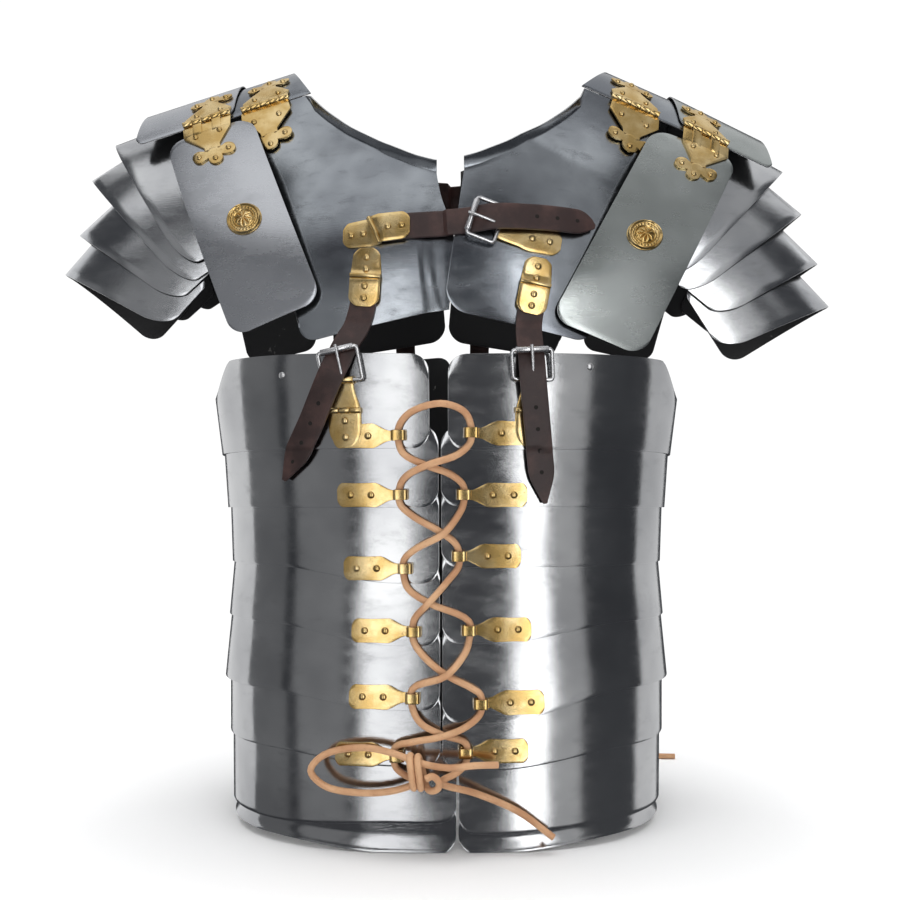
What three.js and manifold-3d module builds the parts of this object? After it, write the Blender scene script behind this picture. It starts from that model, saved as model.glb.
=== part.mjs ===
// Lorica segmentata, the laminated plate armour of a Roman legionary, standing on the lower rim of its girth.
// Millimetres, +Z up. The front faces -Y, +X is to the right as the armour is looked at from the front,
// and the origin is on the floor under the middle of the armour.
import * as THREE from 'three';
import { mergeVertices } from 'three/addons/utils/BufferGeometryUtils.js';
import Module from 'manifold-3d';

const wasm = await Module();
wasm.setup();

// Sheet, leather and clearances
const WALL = 1.2;
const GAP = 0.3;
const BRASS = 1.5;
const BITE = 0.5;
const LEATHER = 2.4;
const LACE = 5.5;
const LACE_SIDES = 8;

// Girth: half width of the top hoop's lower edge, depth less than width, overlap of two hoops, shape of the section
const GIRTH = 206;
const GIRTH_FLATTER = 48;
const OVERLAP = 18;
const SECTION_POWER = 2.6;
const GIRTH_FRONT_TOP = 400;
const GIRTH_SIDE_TOP = 376;
const GIRTH_BACK_TOP = 446;
const HOOP_CORNER = 14;

// Seam of the upper six hoops behind, beside the middle, and its width
const BACK_SEAM = 5;
const SEAM_GAP = 2;
const RIM_FLARE = 5;
const RIM_FLARE_HEIGHT = 9;
const RIM_TRIM = 0.6;

// Shoulders: arch over the shoulder, its half depth and drop at 90 degrees, and the angle where the hinges lie
const ARCH_DEPTH = 87;
const ARCH_DROP = 133;
const ARCH_ANGLE = 50;
const NECK_HALF = 144;
const NECK_TOP = 686;
const CHEST_DEPTH = 152;
const CHEST_HALF = 214;
const PLATE_CORNER = 16;
const FLANGE = 9;
const FLANGE_OUT = 6;

// Forward bulge of the hinged guard plates
const GUARD_BULGE = 11;

// Hinges
const BARREL_RADIUS = 3.2;
const BARREL_LENGTH = 44;
const KNUCKLES = 5;
const KNUCKLE_GAP = 0.5;
const LEAF_LIFT = 0.7;
const CHEST_LEAF_LIFT = 1;

// Straps and buckles
const BUCKLE_WIRE = 1.7;
const ROLLER_RADIUS = 2.6;

const BUCKLE_WIDTH = 32;
const STRAP_PLATE = { left: 79.5, right: 67.5 };
const STRAP_BARREL_Z = 356;
const STRAP_ROLL_Z = 380;
const STRAP_ROLL_PROUD = 4.4;

const STEEL = { color: 0x9aa0a6, roughness: 0.32, metalness: 1 };
const BRASS_LOOK = { color: 0xc9a24a, roughness: 0.3, metalness: 1 };
const LEATHER_LOOK = { color: 0x3a211a, roughness: 0.6, metalness: 0 };
const LACE_LOOK = { color: 0xb8794e, roughness: 0.8, metalness: 0 };
const BRIGHT_STEEL = { color: 0xd0d2d4, roughness: 0.25, metalness: 1 };

// Girth hoops from the top down. low and high are half widths at the lower and upper edge as shares of GIRTH; side,
// left and right are the heights of the lower edge at the sides and at the front middle of each half; leftInner and
// rightInner are how far each half stops short of the middle.
const HOOPS = [
  { low: 1.0, high: 1.029, side: 326, left: 326, right: 325, leftInner: 13, rightInner: 1.6 },
  { low: 0.976, high: 0.996, side: 279, left: 279, right: 280, leftInner: 6, rightInner: -4 },
  { low: 0.957, high: 0.967, side: 231, left: 218, right: 231, leftInner: 5.7, rightInner: -3.9 },
  { low: 0.969, high: 0.942, side: 184, left: 168, right: 170, leftInner: 5, rightInner: -3.2 },
  { low: 0.986, high: 0.952, side: 129, left: 117, right: 107, leftInner: 4.8, rightInner: -3 },
  { low: 0.965, high: 0.965, side: 80, left: 71, right: 68, leftInner: 4.6, rightInner: -2.8 },
  { low: 0.952, high: 0.9545, side: 20, left: 25, right: 16, leftInner: -9, rightInner: 10.9 },
  { low: 0.92, high: 0.9425, side: 7, left: 0, right: 0, leftInner: -9, rightInner: 10.9 },
];

// Tie hooks of hoops 1 to 6: how far the eye is from the middle and how high its centre is above the lower edge.
const HOOKS = [
  { left: 31.5, leftUp: 10, right: 14, rightUp: 13 },
  { left: 31, leftUp: 10, right: 8.5, rightUp: 9 },
  { left: 28, leftUp: 12, right: 5, rightUp: 9 },
  { left: 20.5, leftUp: 12, right: 13, rightUp: 11 },
  { left: 21, leftUp: 10.5, right: 22.5, rightUp: 16 },
  { left: 34.5, leftUp: 9.5, right: 10.5, rightUp: 15.5 },
];

// Tie hook outline from its rounded outer end to the eye: along is the distance, half is half the height.
const HOOK = [
  { along: 0, half: 5.5 },
  { along: 5, half: 10 },
  { along: 32, half: 10 },
  { along: 46, half: 4 },
  { along: 48, half: 4 },
];
const HOOK_LENGTH = 58;
const EYE_LENGTH = 12;
const EYE_HEIGHT = 8;
const EYE_WALL = 1.1;
const EYE_CLEAR = 2.6;

// Brass leaf under each strap buckle, from its round lower end to the roll that holds the buckle's bar.
const STRAP_LEAF = [
  { z: 327, half: 6, proud: 1.5 },
  { z: 331, half: 11.5, proud: 1.5 },
  { z: 355, half: 13, proud: 1.5 },
  { z: 358, half: 12, proud: 0.6 },
  { z: 378, half: 8, proud: 2.2 },
];

// Fittings and straps on the chest: place, half the width, and how proud the outer face stands.
const LEFT_CHEST_FITTING = [
  { x: -84, z: 500, half: 6, proud: 1.8 },
  { x: -80, z: 500, half: 10, proud: 1.8 },
  { x: -60, z: 502, half: 12, proud: 1.8 },
  { x: -56, z: 505, half: 12, proud: 5 },
  { x: -34, z: 507, half: 11.5, proud: 5 },
  { x: -29, z: 507, half: 8, proud: 5 },
];
const CHEST_STRAP = [
  { x: -54, z: 505.5, half: 10.5, proud: 3.1 },
  { x: -28, z: 507, half: 10.5, proud: 3.1 },
  { x: 2, z: 508, half: 10.5, proud: 3.1 },
  { x: 15, z: 509.5, half: 10.5, proud: 3.2 },
  { x: 23, z: 510.5, half: 10.5, proud: 4.2 },
  { x: 34, z: 512, half: 10.5, proud: 9.8 },
  { x: 47, z: 513, half: 10.5, proud: 10 },
  { x: 80, z: 514, half: 10.5, proud: 7.4 },
  { x: 106, z: 513.5, half: 10.5, proud: 6.4 },
  { x: 114, z: 513, half: 10, proud: 6 },
  { x: 123, z: 510, half: 1.5, proud: 5.4 },
];
const RIGHT_CHEST_FITTING = [
  { x: 41, z: 503, half: 8, proud: 3.2 },
  { x: 46, z: 502, half: 8, proud: 3 },
  { x: 63, z: 498.5, half: 10, proud: 2 },
  { x: 67, z: 497, half: 11, proud: 1.8 },
  { x: 88, z: 494, half: 10.5, proud: 1.8 },
  { x: 94, z: 493, half: 6, proud: 1.8 },
];
const CHEST_BUCKLE = { rollerX: 21, rollerZ: 513, rollerProud: 8.1, barX: 43, barZ: 506, barProud: 4.2 };

// Vertical straps, from the fitting on the breastplate to the tongue in front of the hoops.
const STRAP_FITTINGS = {
  left: [
    { x: -64, z: 489, half: 6, proud: 1.8 },
    { x: -64, z: 484, half: 11, proud: 1.8 },
    { x: -64.5, z: 468, half: 12.5, proud: 1.8 },
    { x: -65, z: 464, half: 12.5, proud: 4.6 },
    { x: -66, z: 446, half: 12.5, proud: 4.6 },
    { x: -66.5, z: 440, half: 7, proud: 4.6 },
  ],
  right: [
    { x: 75.6, z: 481, half: 6, proud: 1.8 },
    { x: 75, z: 477, half: 11, proud: 1.8 },
    { x: 73, z: 463, half: 12.5, proud: 1.8 },
    { x: 72.3, z: 459, half: 12.5, proud: 4.6 },
    { x: 68.5, z: 440, half: 12.5, proud: 4.6 },
    { x: 67.3, z: 434, half: 7, proud: 4.6 },
  ],
};
const FRONT_STRAPS = {
  left: [
    { x: -65, z: 462, half: 10.5, proud: 2.7 },
    { x: -67, z: 440, half: 10.5, proud: 2.7 },
    { x: -72, z: 422, half: 10.5, proud: 3.2 },
    { x: -79, z: 411, half: 10.5, proud: 4 },
    { x: -84, z: 398.5, half: 10.5, proud: 4.2 },
    { x: -88.5, z: 389, half: 10.5, proud: 10.4 },
    { x: -92, z: 381, half: 10.5, proud: 11.4 },
    { x: -98, z: 368, half: 10.5, proud: 10.6 },
    { x: -107, z: 348, half: 10.5, proud: 8.2 },
    { x: -121, z: 321, half: 10.5, proud: 7 },
    { x: -132, z: 301, half: 1.5, proud: 6 },
  ],
  right: [
    { x: 72, z: 457, half: 10.5, proud: 2.7 },
    { x: 68, z: 436, half: 10.5, proud: 2.7 },
    { x: 66, z: 422, half: 10.5, proud: 3.2 },
    { x: 66.6, z: 411, half: 10.5, proud: 4 },
    { x: 67.2, z: 401, half: 10.5, proud: 4.2 },
    { x: 67.8, z: 391, half: 10.5, proud: 10.4 },
    { x: 68.4, z: 381, half: 10.5, proud: 11.4 },
    { x: 70, z: 366, half: 10.5, proud: 10.6 },
    { x: 73, z: 338, half: 10.5, proud: 8.2 },
    { x: 76.5, z: 304, half: 10.5, proud: 7 },
    { x: 79.5, z: 282, half: 1.5, proud: 6 },
  ],
};
const STRAP_BUCKLES = {
  left: { rollerX: -86, rollerZ: 403.5, rollerProud: 8.4 },
  right: { rollerX: 67.5, rollerZ: 403, rollerProud: 8 },
};
const BACK_STRAPS = {
  left: [
    { x: -46, z: 480, half: 10.5, proud: 3 },
    { x: -46, z: 459, half: 10.5, proud: 4.2 },
    { x: -46, z: 449, half: 10.5, proud: 4.2 },
    { x: -46, z: 432, half: 10.5, proud: 3.2 },
    { x: -46, z: 412, half: 10.5, proud: 3 },
  ],
  right: [
    { x: 36, z: 480, half: 10.5, proud: 3 },
    { x: 36, z: 459, half: 10.5, proud: 4.2 },
    { x: 36, z: 449, half: 10.5, proud: 4.2 },
    { x: 36, z: 432, half: 10.5, proud: 3.2 },
    { x: 36, z: 412, half: 10.5, proud: 3 },
  ],
};
const BACK_NECK_STRAP = [
  { x: -44, z: NECK_TOP - 76, half: 12, proud: 3.4 },
  { x: -16, z: NECK_TOP - 76, half: 12, proud: 3.8 },
  { x: 9, z: NECK_TOP - 76, half: 12, proud: 3.8 },
  { x: 44, z: NECK_TOP - 76, half: 12, proud: 3.4 },
];

// Front of the chest: drop below the hinge line and depth as a share of CHEST_DEPTH.
const CHEST_PROFILE = [
  { drop: 0, depth: 0.547 },
  { drop: 40, depth: 0.66 },
  { drop: 80, depth: 0.77 },
  { drop: 120, depth: 0.86 },
  { drop: 160, depth: 0.93 },
  { drop: 200, depth: 0.975 },
  { drop: 250, depth: 1.0 },
];

// Neck edge of the breastplate from the middle outwards, as drops below NECK_TOP.
const NECK_EDGE = [
  { x: 8, drop: 124 },
  { x: 26, drop: 118 },
  { x: 52, drop: 105 },
  { x: 82, drop: 84 },
  { x: 105, drop: 63 },
  { x: 120, drop: 46 },
];

// Neck edge of the back plate, in the same way.
const BACK_NECK_EDGE = [
  { x: 15, drop: 52 },
  { x: 34, drop: 45 },
  { x: 60, drop: 40 },
  { x: 92, drop: 36 },
  { x: 120, drop: 30 },
];

// Heights up the middle edge of a chest plate, as shares, and how far the left front plate reaches past its own edge
// to lie under the right one.
const CHEST_ROWS = [
  { up: 0, under: 4 },
  { up: 0.18, under: 8 },
  { up: 0.4, under: 12 },
  { up: 0.6, under: 11 },
  { up: 0.8, under: 3 },
  { up: 1, under: 0 },
];
const UNDER_TUCK = 1.7;

// Hinge leaf from the barrel to its lobed end: down is the distance, half is half the width.
const LEAF = [
  { down: 0, half: 21 },
  { down: 14, half: 20.5 },
  { down: 28, half: 9 },
  { down: 32, half: 9 },
  { down: 34, half: 19 },
  { down: 41, half: 18 },
  { down: 47, half: 5 },
];
const UPPER_LEAF_SHARE = 0.8;

// The two shoulders hang a little differently, as loose armour does. ridge is the top line of the collar, guard the
// top line of the outer guard, front and back the corners of the hinged guard plates. Heights are drops below
// NECK_TOP.
const SHOULDERS = {
  left: {
    side: -1,
    collarSlope: 0.32,
    neckHalf: NECK_HALF,
    hingeFrom: 138,
    guard: { inner: 189, innerDrop: 12.5, outer: 276, outerDrop: 41 },
    guardHinge: 211,
    front: { topIn: [171, -74, 64], topOut: [247, -70, 88], lowIn: [100, -146, 239], lowOut: [175, -130, 268] },
    back: { topIn: [171, 74, 64], topOut: [247, 70, 88], lowIn: [140, 138, 234], lowOut: [213, 124, 254] },
  },
  right: {
    side: 1,
    collarSlope: 0.44,
    neckHalf: NECK_HALF + 8,
    hingeFrom: 145,
    guard: { inner: 208, innerDrop: 22.1, outer: 290, outerDrop: 62.6 },
    guardHinge: 229,
    front: { topIn: [182, -74, 74], topOut: [257, -70, 102], lowIn: [84, -150, 255], lowOut: [160, -135, 284] },
    back: { topIn: [182, 74, 74], topOut: [257, 70, 102], lowIn: [146, 138, 234], lowOut: [219, 124, 252] },
  },
};

// Upper arm lames from the guard outwards. x and drop below NECK_TOP of the upper (hidden) and lower edge at the ridge,
// the same at the front tips and at the back tips, and depth is the half depth of the arch.
const LAMES = {
  left: [
    { upX: 250, upDrop: 43, lowX: 311, lowDrop: 66, depth: 80, backIn: 14,
      tipUpX: 178, tipUpDrop: 174, tipX: 228, tipDrop: 198 },
    { upX: 282, upDrop: 66, lowX: 334, lowDrop: 99, depth: 76, backIn: 24,
      tipUpX: 184, tipUpDrop: 184, tipX: 229, tipDrop: 214 },
    { upX: 296, upDrop: 105, lowX: 346, lowDrop: 151, depth: 73, backIn: 36,
      tipUpX: 197, tipUpDrop: 191, tipX: 238, tipDrop: 228 },
    { upX: 319, upDrop: 141, lowX: 360, lowDrop: 188, depth: 70, backIn: 52,
      tipUpX: 206, tipUpDrop: 205, tipX: 247, tipDrop: 250 },
  ],
  right: [
    { upX: 264, upDrop: 62, lowX: 317, lowDrop: 91, depth: 80, backIn: 14,
      tipUpX: 166, tipUpDrop: 181, tipX: 206, tipDrop: 208 },
    { upX: 288, upDrop: 92, lowX: 335, lowDrop: 131, depth: 76, backIn: 24,
      tipUpX: 176, tipUpDrop: 190, tipX: 216, tipDrop: 222 },
    { upX: 305, upDrop: 134, lowX: 350, lowDrop: 178, depth: 73, backIn: 34,
      tipUpX: 200, tipUpDrop: 206, tipX: 242, tipDrop: 240 },
    { upX: 321, upDrop: 176, lowX: 361, lowDrop: 218, depth: 70, backIn: 46,
      tipUpX: 206, tipUpDrop: 212, tipX: 243, tipDrop: 270 },
  ],
};

// Laces: points chosen by hand along the front and the back.
const FRONT_LACE = [
  [86, -152, 15], [58, -153, 36], [24, -158, 52], [-4, -166.5, 63], [9, -159.5, 69], [16, -156.1, 76],
  [16, -155.7, 91], [-3, -156.1, 98], [-20, -158.7, 108], [-26.5, -158.7, 120], [-26.5, -158.3, 135],
  [0, -163.7, 146], [15, -158.7, 163], [18.5, -155.1, 173], [18.5, -154.9, 188], [-14, -155.5, 203],
  [-30, -154.3, 214], [-33.5, -153.3, 223], [-33.5, -153.3, 237], [-24, -155.3, 246], [-2, -161.5, 258],
  [10, -158.1, 273], [14, -157.6, 282], [14, -157.7, 296], [4, -161.5, 305], [-15, -162.9, 312],
  [-33, -163.1, 321], [-37, -162.8, 329], [-37, -163, 343], [-28, -164.1, 354], [-4, -164.5, 361],
  [14, -163.9, 355], [19.5, -163.1, 345], [19.5, -162.9, 331], [10, -164.5, 321], [-15, -169.1, 312],
  [-31, -162.9, 304], [-36.5, -157.6, 296], [-36.5, -157.5, 282], [-26, -157.1, 272], [-2, -155.3, 258],
  [9, -154.1, 248], [10.5, -153.5, 233], [2, -155.5, 221], [-14, -161.7, 203], [-24, -156.5, 192],
  [-26, -154.8, 187], [-26, -155.1, 173], [-17, -157.5, 160], [0, -157.5, 146], [20, -159.1, 136], [27.6, -158.4, 130],
  [27.6, -158.6, 116], [16, -159.1, 105], [-3, -162.3, 98], [-26, -158.5, 93], [-40.3, -155.6, 88], [-40.3, -155.5, 73],
  [-32, -157.5, 66], [-22, -162.5, 63], [-40, -160, 55], [-70, -156, 52], [-97, -154, 57], [-108, -153.5, 69],
  [-97, -155.5, 82], [-66, -160.5, 89], [-40, -164.5, 85], [-22, -167.5, 79], [2, -172.5, 76], [22, -169.5, 77], [41, -163.5, 76],
];
const BACK_LACE = [
  [-18, 164, 64], [-35, 157, 69], [-40.3, 155, 77], [-40.3, 155, 88], [-26, 158.5, 93], [-3, 162.3, 98], [16, 159.1, 105],
  [28, 158.6, 116], [28, 158.4, 130], [20, 159.1, 136], [0, 157.5, 146], [-17, 157.5, 160], [-26, 155.1, 173],
  [-26, 154.8, 187], [-24, 156.5, 192], [-14, 161.7, 203], [2, 155.5, 221], [10.5, 153.5, 233], [9, 154.1, 248],
  [-2, 155.3, 258], [-26, 157.1, 272], [-36.5, 157.5, 282], [-36.5, 157.6, 296], [-31, 162.9, 304],
  [-15, 169.1, 312], [10, 164.5, 321], [19.5, 162.7, 331], [19.5, 162.8, 345], [14, 163.9, 355], [-4, 164.5, 361],
  [-28, 164.1, 354], [-37, 162.7, 343], [-37, 162.7, 329], [-33, 163.1, 321], [-15, 162.9, 312], [4, 161.5, 305],
  [14, 157.7, 296], [14, 157.6, 282], [10, 158.1, 273], [-2, 161.5, 258], [-24, 155.3, 246], [-33.5, 153.3, 237],
  [-33.5, 153.3, 223], [-30, 154.3, 214], [-14, 155.5, 203], [18.5, 154.9, 188], [18.5, 155.1, 173],
  [15, 158.7, 163], [0, 163.7, 146], [-26.5, 158.3, 135], [-26.5, 158.7, 120], [-20, 158.7, 108],
  [-3, 156.1, 98], [16, 155.7, 91], [16, 155.9, 76], [24, 160, 50], [40, 163, 24], [62, 166, 7], [88, 168, 3],
  [120, 168, 3], [160, 164, 3], [200, 159, 3], [228, 156, 3], [252, 154, 3],
];
const LACE_STEPS = { front: 80, back: 76 };

const radians = THREE.MathUtils.degToRad;
const lerp = THREE.MathUtils.lerp;
const vector = (x, y, z) => new THREE.Vector3(x, y, z);
const armour = new THREE.Group();

// Signed volume of an indexed triangle mesh.
function signedVolume(points, triangles) {
  let sum = 0;
  for (let i = 0; i < triangles.length; i += 3) {
    const [a, b, c] = [points[triangles[i]], points[triangles[i + 1]], points[triangles[i + 2]]];
    sum += a.dot(b.clone().cross(c)) / 6;
  }
  return sum;
}

function geometryOf(points, triangles) {
  const geometry = new THREE.BufferGeometry();
  geometry.setFromPoints(points);
  geometry.setIndex(triangles);
  return geometry;
}

// A bent sheet from a grid of points on its outer face: columns of equal length. inside is a point that the outer
// face looks away from, lift moves the sheet outwards, thickness goes inwards from there.
function sheet(grid, inside, thickness = WALL, lift = 0) {
  const columns = grid.length;
  const rows = grid[0].length;
  const at = (i, j) => grid[THREE.MathUtils.clamp(i, 0, columns - 1)][THREE.MathUtils.clamp(j, 0, rows - 1)];
  const normalAt = (i, j) => {
    const along = at(i + 1, j).clone().sub(at(i - 1, j));
    const across = at(i, j + 1).clone().sub(at(i, j - 1));
    return along.cross(across).normalize();
  };
  const ci = Math.floor(columns / 2);
  const cj = Math.floor(rows / 2);
  const away = at(ci, cj).clone().sub(inside);
  const sign = normalAt(ci, cj).dot(away) < 0 ? -1 : 1;
  const points = [];
  for (const level of [lift, lift - thickness])
    for (let i = 0; i < columns; i++)
      for (let j = 0; j < rows; j++)
        points.push(at(i, j).clone().addScaledVector(normalAt(i, j), sign * level));
  const lower = columns * rows;
  const index = (i, j) => i * rows + j;
  const triangles = [];
  for (let i = 0; i < columns - 1; i++)
    for (let j = 0; j < rows - 1; j++) {
      const [a, b, c, d] = [index(i, j), index(i + 1, j), index(i + 1, j + 1), index(i, j + 1)];
      triangles.push(a, b, c, a, c, d);
      triangles.push(lower + a, lower + c, lower + b, lower + a, lower + d, lower + c);
    }
  const edge = [];
  for (let i = 0; i < columns - 1; i++) edge.push([index(i, 0), index(i + 1, 0)]);
  for (let j = 0; j < rows - 1; j++) edge.push([index(columns - 1, j), index(columns - 1, j + 1)]);
  for (let i = columns - 1; i > 0; i--) edge.push([index(i, rows - 1), index(i - 1, rows - 1)]);
  for (let j = rows - 1; j > 0; j--) edge.push([index(0, j), index(0, j - 1)]);
  for (const [p, q] of edge) triangles.push(q, p, lower + p, q, lower + p, lower + q);
  if (signedVolume(points, triangles) < 0) {
    for (let i = 0; i < triangles.length; i += 3)
      [triangles[i + 1], triangles[i + 2]] = [triangles[i + 2], triangles[i + 1]];
  }
  return geometryOf(points, triangles);
}

function solid(geometry) {
  const bare = geometry.clone();
  bare.deleteAttribute('normal');
  bare.deleteAttribute('uv');
  const merged = mergeVertices(bare, 1e-4);
  const triVerts = Uint32Array.from(merged.index.array);
  return new wasm.Manifold(new wasm.Mesh({ numProp: 3, vertProperties: merged.attributes.position.array, triVerts }));
}

function geometryFrom(manifold) {
  const mesh = manifold.asOriginal().simplify(0.03).getMesh();
  const geometry = new THREE.BufferGeometry();
  geometry.setAttribute('position', new THREE.BufferAttribute(Float32Array.from(mesh.vertProperties), 3));
  geometry.setIndex(Array.from(mesh.triVerts));
  return geometry;
}

function fuse(geometries) {
  return geometryFrom(geometries.map(solid).reduce((joined, next) => joined.add(next)));
}

function add(name, geometry, look) {
  geometry.computeVertexNormals();
  const mesh = new THREE.Mesh(geometry, new THREE.MeshStandardMaterial(look));
  mesh.name = name;
  armour.add(mesh);
}

// A round bar between two points.
function bar(from, to, radius, sides = 8) {
  const length = from.distanceTo(to);
  const geometry = new THREE.CylinderGeometry(radius, radius, length, sides);
  const turn = new THREE.Quaternion().setFromUnitVectors(vector(0, 1, 0), to.clone().sub(from).normalize());
  geometry.applyQuaternion(turn);
  const middle = from.clone().add(to).multiplyScalar(0.5);
  return geometry.translate(middle.x, middle.y, middle.z);
}

// A flat bar with its width along one direction and its length along another.
function slab(middle, alongDirection, downDirection, width, length, thickness) {
  const out = alongDirection.clone().cross(downDirection).normalize();
  const down = out.clone().cross(alongDirection).normalize();
  const geometry = new THREE.BoxGeometry(width, length, thickness);
  geometry.applyMatrix4(new THREE.Matrix4().makeBasis(alongDirection, down, out));
  return geometry.translate(middle.x, middle.y, middle.z);
}

// How far a rounded corner of radius r draws the edge back at a distance from the end.
const corner = (distance, r) => (distance >= r ? 0 : r - Math.sqrt(r * r - (r - distance) ** 2));
const CORNER_STEPS = [0, 0.25, 1];

function fromTable(rows, key, value, x) {
  let i = 1;
  while (i < rows.length - 1 && rows[i][key] < x) i++;
  const share = (x - rows[i - 1][key]) / (rows[i][key] - rows[i - 1][key]);
  return lerp(rows[i - 1][value], rows[i][value], THREE.MathUtils.clamp(share, 0, 1));
}

// Girth section: angle 90 degrees is the middle of the front, 0 the side, -90 the middle of the back.
const power = (value, exponent) => Math.sign(value) * Math.abs(value) ** exponent;
function girthPoint(side, angle, halfWidth, z) {
  const halfDepth = halfWidth - GIRTH_FLATTER;
  const x = halfWidth * power(Math.cos(angle), 2 / SECTION_POWER);
  const y = -halfDepth * power(Math.sin(angle), 2 / SECTION_POWER);
  return vector(side * x, y, z);
}
const angleAt = (x) => Math.acos(power(x / GIRTH, SECTION_POWER / 2));

// Height of a hoop's lower edge: side height at the sides, dropping to the front height within the flat front.
function lowerEdge(hoop, front, angle) {
  const x = Math.max(0, power(Math.cos(angle), 2 / SECTION_POWER));
  const flat = THREE.MathUtils.smoothstep(x, 0.2, 0.75);
  return lerp(front, hoop.side, flat);
}

function girthTop(angle) {
  const x = Math.max(0, power(Math.cos(angle), 2 / SECTION_POWER));
  const level = angle > 0 ? GIRTH_FRONT_TOP + 4 * x : GIRTH_BACK_TOP - 18 * x;
  return lerp(level, GIRTH_SIDE_TOP, THREE.MathUtils.smoothstep(x, 0.86, 0.97));
}

const SIDE_ANGLES = [74, 58, 43, 29, 17, 8, 0, -8, -17, -29, -43, -58, -74].map(radians);

function hoopShape(sideName, number) {
  const hoop = HOOPS[number];
  const front = hoop[sideName];
  const inner = hoop[sideName + 'Inner'];
  const before = HOOPS[number - 1];
  const isTop = number < HOOKS.length;
  const behind = isTop ? SEAM_GAP / 2 + (sideName === 'left' ? -BACK_SEAM : BACK_SEAM) : inner;
  const ends = CORNER_STEPS.map((share) => inner + share * HOOP_CORNER);
  const backEnds = CORNER_STEPS.map((share) => behind + share * HOOP_CORNER).reverse();
  const columns = [];
  for (const x of ends) columns.push({ angle: angleAt(x), inset: corner(x - inner, HOOP_CORNER) });
  for (const angle of SIDE_ANGLES) columns.push({ angle, inset: 0 });
  for (const x of backEnds) columns.push({ angle: -angleAt(x), inset: corner(x - behind, HOOP_CORNER) });
  return columns.map(({ angle, inset }) => {
    const low = lowerEdge(hoop, front, angle);
    const high = number === 0 ? girthTop(angle) : lowerEdge(before, before[sideName], angle) + OVERLAP;
    return { angle, low: low + inset, high: high - inset, lowFull: low, highFull: high };
  });
}

function hoopHalfWidth(number, column, z) {
  const hoop = HOOPS[number];
  const share = (z - column.lowFull) / (column.highFull - column.lowFull);
  return GIRTH * lerp(hoop.low, hoop.high, share);
}

// Face of a hoop at a distance from the middle and a height, in front (ySign -1) or behind (ySign 1).
function hoopPoint(side, sideName, number, x, z, ySign) {
  const hoop = HOOPS[number];
  const angle = -ySign * angleAt(x);
  const before = HOOPS[number - 1];
  const low = lowerEdge(hoop, hoop[sideName], angle);
  const high = number === 0 ? girthTop(angle) : lowerEdge(before, before[sideName], angle) + OVERLAP;
  return girthPoint(side, angle, GIRTH * lerp(hoop.low, hoop.high, (z - low) / (high - low)), z);
}

// Tie hook: a riveted brass plate with an eye that wraps the lace.
function tieHook(side, sideName, number, ySign) {
  const hook = HOOKS[number];
  const outer = hook[sideName] + HOOK_LENGTH;
  const z = HOOPS[number][sideName] + hook[sideName + 'Up'];
  const place = (x, dz) => hoopPoint(side, sideName, number, x, z + dz, ySign);
  const grid = HOOK.map(({ along, half }) => [place(outer - along, -half), place(outer - along, half)]);
  const plate = sheet(grid, vector(0, 0, z), BRASS + BITE, BRASS);
  const hole = LACE + EYE_CLEAR;
  const depth = hole + 2 * EYE_WALL;
  const centre = place(hook[sideName] + EYE_LENGTH / 2, 0);
  centre.y += ySign * (BITE + hole / 2);
  const block = new THREE.BoxGeometry(EYE_LENGTH, depth, EYE_HEIGHT).translate(...centre);
  const opening = new THREE.BoxGeometry(EYE_LENGTH - 2 * EYE_WALL, hole, EYE_HEIGHT * 2).translate(...centre);
  return [plate, geometryFrom(solid(block).subtract(solid(opening)))];
}

// Brass strap plate on the top hoop: a leaf over the tie hook, a barrel, and a leaf with a rolled end that holds
// the bar of the strap buckle.
function strapPlate(side, sideName) {
  const middle = STRAP_PLATE[sideName];
  const place = (x, z, proud) => {
    const point = hoopPoint(side, sideName, 0, x, z, -1);
    point.y -= proud;
    return point;
  };
  const grid = STRAP_LEAF.map(({ z, half, proud }) =>
    [-half, 0, half].map((across) => place(middle + across, z, proud)),
  );
  const barrel = [-13, 13].map((across) => place(middle + across, STRAP_BARREL_Z, BRASS * 2));
  const roll = [-8, 8].map((across) => place(middle + across, STRAP_ROLL_Z, STRAP_ROLL_PROUD));
  const bore = [-9, 9].map((across) => place(middle + across, STRAP_ROLL_Z, STRAP_ROLL_PROUD));
  const holder = solid(bar(...roll, BUCKLE_WIRE + GAP + EYE_WALL));
  const leaf = solid(sheet(grid, vector(0, 0, STRAP_BARREL_Z), BRASS + BITE, BRASS));
  const whole = leaf.add(solid(bar(...barrel, 2.4))).add(holder);
  return geometryFrom(whole.subtract(solid(bar(...bore, BUCKLE_WIRE + GAP))));
}

function hoop(side, sideName, number) {
  const columns = hoopShape(sideName, number);
  const inside = vector(0, 0, HOOPS[number].side);
  const isRim = number === HOOPS.length - 1;
  const grid = columns.map((column) => {
    const levels = isRim
      ? [column.low - RIM_TRIM, column.low + RIM_FLARE_HEIGHT, column.high]
      : [column.low, column.high];
    return levels.map((z, i) => {
      const flare = isRim && i === 0 ? RIM_FLARE : 0;
      return girthPoint(side, column.angle, hoopHalfWidth(number, column, z) + flare, z);
    });
  });
  const parts = [sheet(grid, inside)];
  if (number < HOOKS.length) {
    parts.push(...tieHook(side, sideName, number, -1));
    parts.push(...tieHook(side, sideName, number, 1));
  }
  if (number === 0) parts.push(strapPlate(side, sideName));
  let geometry = parts.length > 1 ? fuse(parts) : parts[0];
  if (isRim) {
    const floor = new THREE.BoxGeometry(4 * GIRTH, 4 * GIRTH, 20).translate(0, 0, -10);
    geometry = geometryFrom(solid(geometry).subtract(solid(floor)));
  }
  add(`${sideName}_hoop_${number + 1}`, geometry, STEEL);
}

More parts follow.
